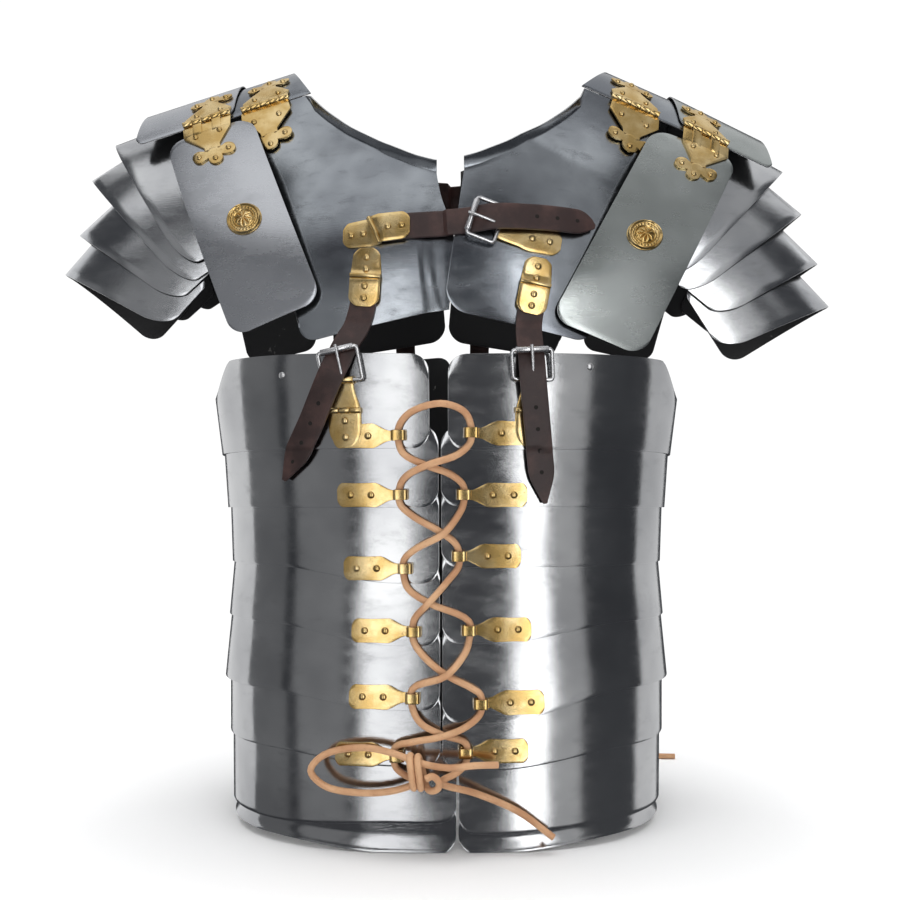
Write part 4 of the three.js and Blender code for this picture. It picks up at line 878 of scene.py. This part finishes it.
# Collars. A curved steel plate over the top of each shoulder beside the neck, between the front and back
# hinges.
for side_name, shoulder in SHOULDERS.items():
    outer_x = shoulder["guard"][0] + 8

    def over_shoulder(u, v):
        share = 2 * v - 1
        inner_x = shoulder["neck"] - (shoulder["neck"] - NECK_EDGE[-1][0]) * share * share
        x = mix(inner_x, outer_x, u)
        return on_side(arch_point(x, share * ARCH_ANGLE, collar_ridge(shoulder, x)), shoulder["side"])

    blank = flat_blank(f"{side_name}_collar_sheet", 14, 48, over_shoulder, (shoulder["side"] * 160, 0, 560))
    plate = thicken(blank, WALL, [chest_steel, inner_black, filed_steel_with_painted_highlight])
    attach(plate, "armour")
    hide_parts(f"{side_name}_collar")

# Shoulder guards. The top plate lies over the collar, and a long plate with round corners, bulged a little
# forwards, hangs from it in front and behind.
GUARD_BULGE = 11


def guard_ridge(shoulder, x):
    inner, inner_z, outer, outer_z = shoulder["guard"]
    return mix(inner_z, outer_z, (x - inner) / (outer - inner))


def guard_arch(shoulder, x, angle, lift=0.0):
    return arch_point(x, angle, guard_ridge(shoulder, x) + 0.3, 1 + lift)


def guard_point(corners, u, v):
    top_in, top_out, low_in, low_out = (Vector(c) for c in corners)
    top = top_in.lerp(top_out, u)
    low = low_in.lerp(low_out, u)
    point = top + (low - top) * v
    bulge = GUARD_BULGE * 4 * max(0, v) * (1 - max(0, v)) + 8 * u * (1 - u)
    point.y += math.copysign(bulge, low_in.y)
    return point


# The two guards are one steel, but the left one's colour is painted lighter and the right one's darker: painted
# light and shade for how each shoulder is lit.
guard_steel_painted_light_and_shade = {
    "left": steel_finish(
        "left_guard_steel", (0.44, 0.455, 0.485), (0.58, 0.595, 0.625), 7.0, 0.25, (0.8, 0.3, 0.1), 0.19
    ),
    "right": steel_finish(
        "right_guard_steel", (0.33, 0.355, 0.345), (0.50, 0.53, 0.52), 9.0, 0.5, (0.2, 0.9, 0.5), 0.16
    ),
}
for side_name, shoulder in SHOULDERS.items():
    side = shoulder["side"]
    inner, _, outer, _ = shoulder["guard"]
    bend = PLATE_CORNER * 0.6

    def guard_top_face(u, v):
        x = mix(inner, outer, 0.5 - 0.5 * math.cos(math.pi * u))
        inset = cut_back(min(x - inner, outer - x), bend) / 1.9
        return on_side(guard_arch(shoulder, x, (2 * v - 1) * (ARCH_ANGLE - inset)), side)

    blank = flat_blank(f"{side_name}_guard_top_sheet", 24, 48, guard_top_face, (side * 230, 0, 560))
    plate = thicken(blank, WALL, [guard_steel_painted_light_and_shade[side_name], inner_black, filed_steel_with_painted_highlight])
    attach(plate, "armour")
    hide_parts(f"{side_name}_guard_top")
    for place_name in ("front", "back"):
        corners = shoulder[place_name]
        width = (Vector(corners[0]) - Vector(corners[1])).length
        height = (Vector(corners[0]) - Vector(corners[2])).length

        def guard_face(along, v):
            u = 0.5 - 0.5 * math.cos(math.pi * along)
            inset = cut_back(min(u, 1 - u) * width, PLATE_CORNER) / height
            return on_side(guard_point(corners, u, mix(inset, 1 - inset, v)), side)

        node = f"{side_name}_guard_{place_name}"
        blank = flat_blank(node + "_sheet", 36, 40, guard_face, (side * 180, 0, 520))
        plate = thicken(blank, WALL, [guard_steel_painted_light_and_shade[side_name], inner_black, filed_steel_with_painted_highlight])
        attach(plate, node)
        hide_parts(node)

# Hinges. Each has two sheet brass leaves, wide at the barrel, narrow below and ending in three lobes, with
# five domed rivets to a leaf, and a barrel of five knuckles on a pin. Collar hinges stay still, guard
# hinges swing.
BARREL_RADIUS = 3.2
BARREL_LENGTH = 44
KNUCKLES = 5
LEAF_LIFT = 0.7
CHEST_LEAF_LIFT = 1
UPPER_LEAF_SHARE = 0.8
LOBES_DOWN = 37
LEAF_RIVETS = [(-11, 13), (11, 13), (-13.5, 36.5), (13.5, 36.5), (0, 43)]


def leaf_half(down):
    if down < 11:
        return 20.5 + down / 11
    if down < 28:
        return mix(21.5, 7.5, (down - 11) / 17)
    return 7.5


def lobed_reach(turn):
    """Outline of the three lobes about the middle of the leaf's foot."""
    reach = 6.5
    for across, down, radius in ((-13, 0.5, 6.6), (13, 0.5, 6.6), (0, -5.5, 6.6)):
        toward = across * math.cos(turn) + down * math.sin(turn)
        off = across * across + down * down - toward * toward
        if toward > 0 and off < radius * radius:
            reach = max(reach, toward + math.sqrt(radius * radius - off))
    return reach


def hinge_leaf(name, place, away_from, start, lift, scale=1.0, across_scale=1.0):
    """Leaf pressed onto a face: place(across, down) is the face, from start down to the lobes."""
    plate = flat_leaf(name + "_plate", leaf_half, start, 32, 10, 30, 0.35, lift)
    middle = (0, LOBES_DOWN)
    top = BRASS_SHEET + lift + 0.08
    lobes = (name + "_lobes", lobed_reach, lambda v, turn: top, middle)
    foot = flat_round(*lobes, [brass], 5, 72, BRASS_SHEET, 0.3)
    for part in (plate, foot):
        for point in part.data.vertices:
            point.co.x *= across_scale
            point.co.y *= scale
            if part is foot:
                point.co.y = 2 * LOBES_DOWN * scale * MM - point.co.y
    parts = [pressed(part, place, away_from) for part in (plate, foot)]
    spots = [(a * across_scale, d * scale) for a, d in LEAF_RIVETS if d > start + 2]
    return parts + riveted(small_dome, name, place, spots, away_from, 1.45 + lift)


def knuckle_ends(ends, k):
    run = ends[1] - ends[0]
    trim = 0.25 / run.length
    return ends[0] + run * (k / KNUCKLES + trim), ends[0] + run * ((k + 1) / KNUCKLES - trim)


def curl(name, first, last, edge_first, edge_last, away_from):
    """Tongue of the leaf that runs from its edge up round the knuckle."""

    def face(u, v):
        return first.lerp(last, u).lerp(edge_first.lerp(edge_last, u), v)

    blank = flat_blank(name, 2, 4, face, away_from)
    return thicken(blank, BRASS_SHEET, [brass], 0.25)


for side_name, shoulder in SHOULDERS.items():
    side = shoulder["side"]
    for place_name, y_sign in (("front", -1), ("back", 1)):
        x = shoulder["hinge_from"] + BARREL_LENGTH / 2

        def on_chest(across, down):
            z = hinge_line(shoulder, x + across) - 2 - down * 0.88
            return on_side(chest_point(shoulder, x + across - down * 0.2, z, y_sign), side)

        def on_collar(across, down):
            angle = y_sign * (ARCH_ANGLE - 1 - down / 2)
            return on_side(arch_point(x + across, angle, collar_ridge(shoulder, x + across)), side)

        node = f"{side_name}_collar_hinge_{place_name}"
        chest_inside = (side * 100, 0, 500)
        collar_inside = (side * 160, 0, 560)
        parts = hinge_leaf(node + "_lower", on_chest, chest_inside, 0, LEAF_LIFT + CHEST_LEAF_LIFT)
        parts += hinge_leaf(node + "_upper", on_collar, collar_inside, 0, LEAF_LIFT, UPPER_LEAF_SHARE, 0.95)
        half = BARREL_LENGTH / 2 - 1
        ends = []
        for at in (x - half, x + half):
            lift = BARREL_RADIUS + LEAF_LIFT
            end = arch_point(at, y_sign * (ARCH_ANGLE + 0.5), collar_ridge(shoulder, at), lift)
            ends.append(on_side(end, side))
        for k in range(KNUCKLES):
            parts.append(rod(f"{node}_knuckle_{k}", *knuckle_ends(ends, k), BARREL_RADIUS, brass, 0.35))
        hinge = joined(node + "_brass", parts)
        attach(hinge, "armour")
        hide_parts(node)

for side_name, shoulder in SHOULDERS.items():
    side = shoulder["side"]
    for place_name, y_sign in (("front", -1), ("back", 1)):
        corners = shoulder[place_name]
        x = shoulder["guard_hinge"]
        slope = (guard_ridge(shoulder, x + 10) - guard_ridge(shoulder, x - 10)) / 20
        run = 1 / math.hypot(1, slope)
        angle = y_sign * (ARCH_ANGLE + 0.8)
        lift = BARREL_RADIUS + 0.3 + 0.8
        half_run = BARREL_LENGTH / 2 * run
        ends = [on_side(guard_arch(shoulder, x + s * half_run, angle, lift), side) for s in (-1, 1)]
        width = (Vector(corners[0]) - Vector(corners[1])).length
        height = (Vector(corners[0]) - Vector(corners[2])).length
        middle_x = abs(ends[0].x + ends[1].x) / 2
        middle_u = (middle_x - corners[0][0]) / (corners[1][0] - corners[0][0]) - 0.01

        def on_guard(across, down):
            return on_side(guard_point(corners, middle_u + across / width, (down - 8) / height), side)

        def on_guard_top(across, down):
            down_angle = y_sign * (ARCH_ANGLE + 0.2 - down / 2)
            return on_side(guard_arch(shoulder, x + across * run, down_angle), side)

        node = f"{side_name}_guard_hinge_{place_name}"
        moving = f"{side_name}_guard_{place_name}"
        guard_inside = (side * 180, 0, 520)
        top_inside = (side * 230, 0, 560)
        axis = (ends[1] - ends[0]).normalized()
        centre = (ends[0] + ends[1]) / 2
        upper_start = 3.5 / UPPER_LEAF_SHARE
        upper = (node + "_upper", on_guard_top, top_inside)
        still = hinge_leaf(*upper, upper_start, LEAF_LIFT, UPPER_LEAF_SHARE)
        swings = hinge_leaf(moving + "_leaf", on_guard, guard_inside, 9, 0)
        across_ends = [(p - centre).dot(axis) for p in ends]
        edge = [seat(on_guard, s * 0.98, 10.5, guard_inside) for s in across_ends]
        toward = ((edge[0][0] + edge[1][0]) / 2 - centre).normalized()
        starts = [p + toward * 4.2 + edge[0][2] * 0.9 for p in ends]
        marks = [here + out * BRASS_SHEET for here, _, out in edge]
        swings.append(curl(moving + "_apron", *starts, *marks, guard_inside))
        for k in range(KNUCKLES):
            first, last = knuckle_ends(ends, k)
            shares = [(p - centre).dot(axis) for p in (first, last)]
            if k % 2:
                edge = [seat(on_guard, s, 11, guard_inside) for s in shares]
                outward = edge[0][2]
                starts = [p + outward * BARREL_RADIUS * 0.5 for p in (first, last)]
                marks = [here + out * BRASS_SHEET for here, _, out in edge]
                swings.append(rod(f"{moving}_knuckle_{k}", first, last, BARREL_RADIUS, brass, 0.35))
                swings.append(curl(f"{moving}_curl_{k}", *starts, *marks, guard_inside))
            else:
                edge = [seat(on_guard_top, s, 4.5, top_inside) for s in shares]
                outward = edge[0][2]
                starts = [p + outward * BARREL_RADIUS * 0.5 for p in (first, last)]
                marks = [here + out * (BRASS_SHEET + LEAF_LIFT) for here, _, out in edge]
                still.append(rod(f"{node}_knuckle_{k}", first, last, BARREL_RADIUS, brass, 0.35))
                still.append(curl(f"{node}_curl_{k}", *starts, *marks, top_inside))
        fixed_leaf = joined(node + "_brass", still)
        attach(fixed_leaf, "armour")
        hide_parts(node)
        moving_leaf = joined(moving + "_hinge_leaf", swings)
        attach(moving_leaf, moving)

# Bosses. A round of stamped brass in the upper middle of each front guard plate: a plain rim, a ring of
# beads and a raised rosette of petals.
BOSS_RADIUS = 15


def boss_rim(turn):
    return BOSS_RADIUS


def boss_relief(v, turn):
    radius = BOSS_RADIUS * v
    height = 1.6
    height += 1.5 * math.exp(-(((radius - 13.3) / 0.9) ** 2))
    height += 0.9 * math.exp(-(((radius - 10.6) / 0.7) ** 2)) * (0.55 + 0.45 * math.cos(24 * turn))
    height += 0.7 * math.exp(-(((radius - 8.6) / 0.4) ** 2))
    if radius < 8:
        petal = abs(math.cos(4 * turn)) ** 0.6 * math.sin(math.pi * min(1, radius / 7.6)) ** 0.7
        height += 1.7 * petal * min(1, radius / 2.2) + 1.9 * math.exp(-((radius / 2.1) ** 2))
    if radius > 14.6:
        height -= 0.9
    return height


for side_name, shoulder in SHOULDERS.items():
    side = shoulder["side"]
    corners = shoulder["front"]
    width = (Vector(corners[0]) - Vector(corners[1])).length
    height = (Vector(corners[0]) - Vector(corners[2])).length

    def on_front_guard(across, up):
        return on_side(guard_point(corners, 0.45 + across / width, 0.52 - up / height), side)

    inside = (side * 180, 0, 520)
    boss = flat_round(f"{side_name}_boss", boss_rim, boss_relief, (0, 0), [brass], 52, 144, 1.2)
    pressed(boss, on_front_guard, inside)
    bpy.ops.object.shade_smooth()
    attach(boss, f"{side_name}_guard_front")

# Upper arm lames. Four narrow steel arches a side, each wider and lower than the one above and tucked
# under it, polished brighter than the chest, with black insides. A hidden leather inside carries them on
# rivets.
LAMES = {
    "left": [
        ((250, 643), (311, 620), (178, 512), (228, 488), 80, 14),
        ((282, 620), (334, 587), (184, 502), (229, 472), 76, 24),
        ((296, 581), (346, 535), (197, 495), (238, 458), 73, 36),
        ((319, 545), (360, 498), (206, 481), (247, 436), 70, 52),
    ],
    "right": [
        ((264, 624), (317, 595), (166, 505), (206, 478), 80, 14),
        ((288, 594), (335, 555), (176, 496), (216, 464), 76, 24),
        ((305, 552), (350, 508), (200, 480), (242, 446), 73, 34),
        ((321, 510), (361, 468), (206, 474), (243, 416), 70, 46),
    ],
}


def lame_point(lame, angle, v):
    up, low, tip_up, tip, depth, back_in = lame
    turn = math.radians(angle)
    shift = back_in if angle > 0 else 0
    top_x, top_z = mix(low[0], up[0], v), mix(low[1], up[1], v)
    tip_x = mix(tip[0], tip_up[0], v) + shift
    tip_z = mix(tip[1], tip_up[1], v) + shift * 0.15
    drop = 1 - math.cos(turn)
    return Vector((mix(top_x, tip_x, drop), depth * math.sin(turn), mix(top_z, tip_z, drop)))


lame_steel = steel_finish(
    "lame_steel", (0.44, 0.45, 0.47), (0.64, 0.65, 0.66), 10.0, 0.6, (0.5, 0.5, 0.9), 0.12
)
for side_name, side in SIDES.items():
    for number, lame in enumerate(LAMES[side_name]):

        def lame_face(u, v):
            angle = -90 * math.cos(math.pi * u)
            past = max(0, (abs(angle) - 78) / 12)
            inset = 0.26 * (1 - math.sqrt(max(0, 1 - past * past)))
            return on_side(lame_point(lame, angle, mix(inset, 1 - 0.8 * inset, v)), side)

        node = f"{side_name}_arm_lame_{number + 1}"
        blank = flat_blank(node + "_sheet", 80, 8, lame_face, (side * 200, 0, 480))
        plate = thicken(blank, WALL, [lame_steel, inner_black, filed_steel_with_painted_highlight])
        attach(plate, "armour")
        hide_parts(node)


def leather_finish(name, dark, light):
    """Oiled brown leather with a fine grain, lighter in random patches."""
    material, start, place = finish_named(name)
    grain = start.node("ShaderNodeTexVoronoi", {}, {"Vector": place, "Scale": 1500})
    pores = start.noise(place, 900, 3, 0.6)
    worn = start.noise(place, 45, 4, 0.6)
    base = start.blend(worn.rise(0.4, 0.75), dark, light)
    base = start.blend(pores.rise(0.6, 0.75) * 0.5, base, tuple(0.45 * c for c in dark))
    relief = 0.5 * grain + 0.8 * pores
    rough = 0.30 + 0.22 * worn + 0.1 * pores
    return put_on(material, base, rough, 0.0, relief, 0.4, 0.0003)


strap_leather = leather_finish("strap_leather_brown", (0.022, 0.010, 0.009), (0.056, 0.026, 0.022))
for side_name in SIDES:
    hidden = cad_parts[f"{side_name}_arm_leather"]
    hidden.data.materials.clear()
    hidden.data.materials.append(strap_leather)

# Chest and front fittings. Brass hinge fittings of two rounded leaves: one riveted to the breastplate, the
# other folded over the end of a strap and riveted through it.
LEFT_CHEST_FITTING = [
    (-84, 500, 8, 1.8), (-80, 500, 10.5, 1.8), (-60, 502, 12, 1.8), (-56, 505, 12, 5), (-34, 507, 11.5, 5),
    (-29, 507, 9, 5),
]
RIGHT_CHEST_FITTING = [
    (41, 503, 8, 3.2), (46, 502, 8, 3), (63, 498.5, 10, 2), (67, 497, 11, 1.8), (88, 494, 10.5, 1.8),
    (94, 493, 8, 1.8),
]
STRAP_FITTINGS = {
    "left": [
        (-64, 489, 8, 1.8), (-64, 484, 11, 1.8), (-64.5, 468, 12.5, 1.8), (-65, 464, 12.5, 4.6),
        (-66, 446, 12.5, 4.6), (-66.5, 440, 9, 4.6),
    ],
    "right": [
        (75.6, 481, 8, 1.8), (75, 477, 11, 1.8), (73, 463, 12.5, 1.8), (72.3, 459, 12.5, 4.6),
        (68.5, 440, 12.5, 4.6), (67.3, 434, 9, 4.6),
    ],
}


def face_depth(x, z, y_sign):
    """Depth of the front or back at a place: the chest plates above the gap, the top hoops below it."""
    side_name = "left" if x < 0 else "right"
    shoulder = SHOULDERS[side_name]
    chest_end = 428 if y_sign < 0 else 456
    girth_end = 402 if y_sign < 0 else 448
    chest = chest_depth(shoulder, abs(x), max(z, chest_end))
    number = 1 if z < HOOPS[0][side_name] else 0
    girth = abs(hoop_point(1, side_name, number, abs(x), min(z, girth_end), y_sign).y)
    return mix(girth, chest, min(1, max(0, (z - girth_end) / (chest_end - girth_end))))


def along_rows(rows, share, rounded):
    """Row of a strip at a share of its length, with the bends between its rows rounded."""
    marks = [0.0]
    for a, b in zip(rows, rows[1:]):
        marks.append(marks[-1] + math.hypot(b[0] - a[0], b[1] - a[1]))
    reach = rounded / marks[-1]
    share = min(1, max(0, share))
    reach = min(reach, share + 1e-6, 1 - share + 1e-6)
    tables = ([(mark / marks[-1], row[k]) for mark, row in zip(marks, rows)] for k in range(4))
    return [read_smooth(table, share, reach) for table in tables]


def strip_point(rows, share, across, y_sign, rounded=4.0, nose=0.0, length=1.0):
    x, z, half, proud = along_rows(rows, share, rounded)
    ahead = along_rows(rows, share + 0.004, rounded)
    behind = along_rows(rows, share - 0.004, rounded)
    run = Vector((ahead[0] - behind[0], ahead[1] - behind[1])).normalized()
    if nose:
        end = min(share, 1 - share) * length
        if end < nose:
            half *= 0.55 + 0.45 * math.sqrt(1 - (1 - end / nose) ** 2)
    px, pz = x + run.y * across * half, z - run.x * across * half
    return Vector((px, y_sign * (face_depth(px, pz, y_sign) + proud), pz))


def rows_length(rows):
    return sum(math.hypot(b[0] - a[0], b[1] - a[1]) for a, b in zip(rows, rows[1:]))


def strip(name, rows, wall, skins, y_sign=-1, rounded=4.0, nose=0.0, columns=8, filed=0.35):
    length = rows_length(rows)

    def face(u, v):
        share = 0.5 - 0.5 * math.cos(math.pi * v)
        return strip_point(rows, share, 2 * u - 1, y_sign, rounded, nose, length)

    middle = rows[len(rows) // 2]
    blank = flat_blank(name, columns, max(24, int(length / 2)), face, (middle[0] * 0.4, 0, middle[1]))
    return thicken(blank, wall, skins, filed)


def strip_rivets(name, rows, shares, y_sign=-1):
    """Domed rivets along the middle of a strip, at shares of its length."""
    length = rows_length(rows)

    def place(across, along):
        return strip_point(rows, along / length, across / 10, y_sign)

    return riveted(dome, name, place, [(0, share * length) for share in shares], (0, 0, rows[0][1]), -0.1)


FITTINGS = [
    ("left_chest_fitting", LEFT_CHEST_FITTING, (0.12, 0.3, 0.68, 0.88), 0.47),
    ("left_strap_fitting", STRAP_FITTINGS["left"], (0.16, 0.36, 0.66, 0.86), 0.49),
    ("right_strap_fitting", STRAP_FITTINGS["right"], (0.16, 0.36, 0.66, 0.86), 0.47),
]
for node, rows, rivets, fold in FITTINGS:
    parts = [strip(node + "_leaf", rows, BRASS_SHEET, [brass], -1, 1.5, 6.0)]
    parts += strip_rivets(node, rows, rivets)
    ends = [strip_point(rows, fold, across, -1) for across in (-1, 1)]
    outward = Vector((0, -1.0, 0))
    parts.append(rod(node + "_fold", ends[0] + outward, ends[1] + outward, 2.0, brass))
    fitting = joined(node + "_brass", parts)
    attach(fitting, "armour")
    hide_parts(node)

# Straps. Oiled dark brown leather, 21 mm wide, with a cut point; its punched holes are not cut but drawn as dark
# discs, painted shadow. Two hang in front of the hoops, one crosses the chest, and plain ones, riveted at both
# ends, join the plates behind.
CHEST_STRAP = [
    (-54, 505.5, 10.5, 3.1), (-28, 507, 10.5, 3.1), (2, 508, 10.5, 3.1), (15, 509.5, 10.5, 3.2),
    (23, 510.5, 10.5, 4.2), (34, 512, 10.5, 9.8), (47, 513, 10.5, 10), (80, 514, 10.5, 7.4),
    (106, 513.5, 10.5, 6.4), (114, 513, 10, 6), (123, 510, 1.5, 5.4),
]
FRONT_STRAPS = {
    "left": [
        (-65, 462, 10.5, 2.7), (-67, 440, 10.5, 2.7), (-72, 422, 10.5, 3.2), (-79, 411, 10.5, 4),
        (-84, 398.5, 10.5, 4.2), (-88.5, 389, 10.5, 10.4), (-92, 381, 10.5, 11.4), (-98, 368, 10.5, 10.6),
        (-107, 348, 10.5, 8.2), (-121, 321, 10.5, 7), (-132, 301, 1.5, 6),
    ],
    "right": [
        (72, 457, 10.5, 2.7), (68, 436, 10.5, 2.7), (66, 422, 10.5, 3.2), (66.6, 411, 10.5, 4),
        (67.2, 401, 10.5, 4.2), (67.8, 391, 10.5, 10.4), (68.4, 381, 10.5, 11.4), (70, 366, 10.5, 10.6),
        (73, 338, 10.5, 8.2), (76.5, 304, 10.5, 7), (79.5, 282, 1.5, 6),
    ],
}
BACK_STRAP_ROWS = ((480, 3), (459, 4.2), (449, 4.2), (432, 3.2), (412, 3))
BACK_STRAPS = {
    name: [(x, z, 10.5, proud) for z, proud in BACK_STRAP_ROWS] for name, x in (("left", -46), ("right", 36))
}
BACK_NECK_STRAP = [(-44, 610, 12, 3.4), (-16, 610, 12, 3.8), (9, 610, 12, 3.8), (44, 610, 12, 3.4)]
LEATHER_THICK = 2.4
HOLE_STEP = 17
HOLE_RADIUS = 1.7
HOLE_PROUD = 0.06


def hole_rim(turn):
    return HOLE_RADIUS


def hole_height(v, turn):
    return HOLE_PROUD


def punched(name, rows, first, count, y_sign):
    """Dark discs set into the face of a strap: painted shadow standing for punched holes, which are not cut."""
    length = rows_length(rows)
    discs = []
    for k in range(count):

        def place(a, b):
            return strip_point(rows, (first + k * HOLE_STEP + b) / length, a / 10.5, y_sign)

        disc = flat_round(f"{name}_{k}", hole_rim, hole_height, (0, 0), [hole_painted_shadow_skin], 3, 20, 0.3)
        discs.append(pressed(disc, place, (0, 0, rows[0][1])))
    return discs


# The hole discs are near black: painted shadow where the holes would show their dark inside.
material, start, place = finish_named("punched_hole_dark")
hole_painted_shadow_skin = put_on(material, (0.008, 0.006, 0.005), 0.9, 0.0, start.noise(place, 900, 2), 0.2, 0.0002)
STRAPS = [
    ("chest_strap", CHEST_STRAP, -1, 128, 3, 0.0),
    ("left_front_strap", FRONT_STRAPS["left"], -1, 108, 4, 0.0),
    ("right_front_strap", FRONT_STRAPS["right"], -1, 100, 4, 0.0),
    ("left_back_strap", BACK_STRAPS["left"], 1, 0, 0, 5.0),
    ("right_back_strap", BACK_STRAPS["right"], 1, 0, 0, 5.0),
    ("back_neck_strap", BACK_NECK_STRAP, 1, 0, 0, 5.0),
]
for node, rows, y_sign, first, count, nose in STRAPS:
    parts = [strip(node + "_hide", rows, LEATHER_THICK, [strap_leather], y_sign, 6.0, nose, 10, 0.5)]
    if count:
        parts += punched(node + "_hole", rows, first, count, y_sign)
    else:
        parts += strip_rivets(node, rows, (0.1, 0.9), y_sign)
    strap = joined(node + "_leather", parts)
    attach(strap, "armour")
    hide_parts(node)

# Buckles. Bright steel frames of bent round wire, with a roller at the strap's end and a prong that lies
# over it.
BUCKLE_WIDTH = 32
BUCKLE_WIRE = 1.7
ROLLER_RADIUS = 2.6
PRONG_RADIUS = 1.25
STRAP_BUCKLES = {"left": (-86, 403.5, 8.4), "right": (67.5, 403, 8.0)}
CHEST_BUCKLE = (21, 513, 8.1, 43, 506, 4.2)


def bright_finish():
    material, start, place = finish_named("bright_buckle_wire")
    marks = start.noise(place, 600, 4, 0.6)
    base = start.blend(marks.rise(0.5, 0.75) * 0.6, (0.72, 0.72, 0.73), (0.40, 0.39, 0.38))
    return put_on(material, base, 0.16 + 0.2 * marks, 1.0, marks, 0.2, 0.00015)


bright_wire = bright_finish()


def on_front(x, z, proud):
    return Vector((x, -(face_depth(x, z, -1) + proud), z))


def cross_bar(x, z, run_x, run_z, proud):
    run = Vector((run_x, run_z)).normalized()
    return [on_front(x + run.y * w, z - run.x * w, proud) for w in (-BUCKLE_WIDTH / 2, BUCKLE_WIDTH / 2)]


def bent_wire(name, places, radius, closed):
    wire = wire_rod(name, places, radius, closed, 4)
    wire.data.materials.append(bright_wire)
    alone(wire)
    bpy.ops.object.convert(target="MESH")
    wire = bpy.context.object
    bpy.ops.object.shade_smooth_by_angle(angle=math.radians(60))
    return wire


def rounded_frame(corners, bend):
    """Places round a four-cornered frame with bent corners."""
    places = []
    for k, corner in enumerate(corners):
        before = (corners[k - 1] - corner).normalized() * bend
        after = (corners[(k + 1) % 4] - corner).normalized() * bend
        for t in (0, 0.25, 0.5, 0.75, 1):
            places.append(corner + before * (1 - t) ** 2 + after * t**2)
    return places


def roller_buckle(name, roller, bar_ends):
    middle_roll, middle_bar = (roller[0] + roller[1]) / 2, (bar_ends[0] + bar_ends[1]) / 2
    corners = [*roller, bar_ends[1], bar_ends[0]]
    frame_wire = bent_wire(name + "_frame", rounded_frame(corners, 3), BUCKLE_WIRE, True)
    inset = (roller[1] - roller[0]) * 0.09
    sleeve = rod(name + "_roller", roller[0] + inset, roller[1] - inset, ROLLER_RADIUS, bright_wire)
    outward = Vector((0, -1, 0))
    run = middle_roll - middle_bar
    prong = [middle_bar + outward * 1.0, middle_bar + outward * 3.6 + run * 0.12]
    prong.append(middle_bar + outward * 4.6 + run * 0.5)
    prong += [middle_roll + outward * 4.4 - run * 0.06, middle_roll + outward * 3.6 + run * 0.14]
    return [frame_wire, sleeve, bent_wire(name + "_prong", threaded(prong), PRONG_RADIUS, False)]


for side_name, side in SIDES.items():
    roller_x, roller_z, roller_proud = STRAP_BUCKLES[side_name]
    roll_ends = []
    for across in (-8, 8):
        end = hoop_point(1, side_name, 0, STRAP_PLATE[side_name] + side * across, STRAP_ROLL_Z, -1)
        roll_ends.append(Vector((side * end.x, end.y - STRAP_ROLL_PROUD, end.z)))
    middle = (roll_ends[0] + roll_ends[1]) / 2
    along = (roll_ends[1] - roll_ends[0]).normalized()
    bar_ends = [middle + along * (-end * BUCKLE_WIDTH / 2) for end in (-1, 1)]
    roller = cross_bar(roller_x, roller_z, middle.x - roller_x, middle.z - roller_z, roller_proud)
    name = f"{side_name}_strap_buckle"
    buckle = joined(name, roller_buckle(name, roller, bar_ends))
    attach(buckle, "armour")
    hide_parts(f"{side_name}_front_buckle")

roller_x, roller_z, roller_proud, bar_x, bar_z, bar_proud = CHEST_BUCKLE
roller = cross_bar(roller_x, roller_z, bar_x - roller_x, bar_z - roller_z, roller_proud)
bar_ends = cross_bar(bar_x, bar_z, bar_x - roller_x, bar_z - roller_z, bar_proud)
buckle = joined("chest_roller_buckle", roller_buckle("chest_roller_buckle", roller, bar_ends))
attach(buckle, "armour")
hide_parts("chest_buckle")
parts = [strip("right_chest_leaf", RIGHT_CHEST_FITTING, BRASS_SHEET, [brass], -1, 1.5, 6.0)]
parts += strip_rivets("right_chest_leaf", RIGHT_CHEST_FITTING, (0.55, 0.82))
fitting = joined("right_chest_fitting_brass", parts)
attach(fitting, "armour")
for model in (dome, small_dome):
    bpy.data.objects.remove(model)
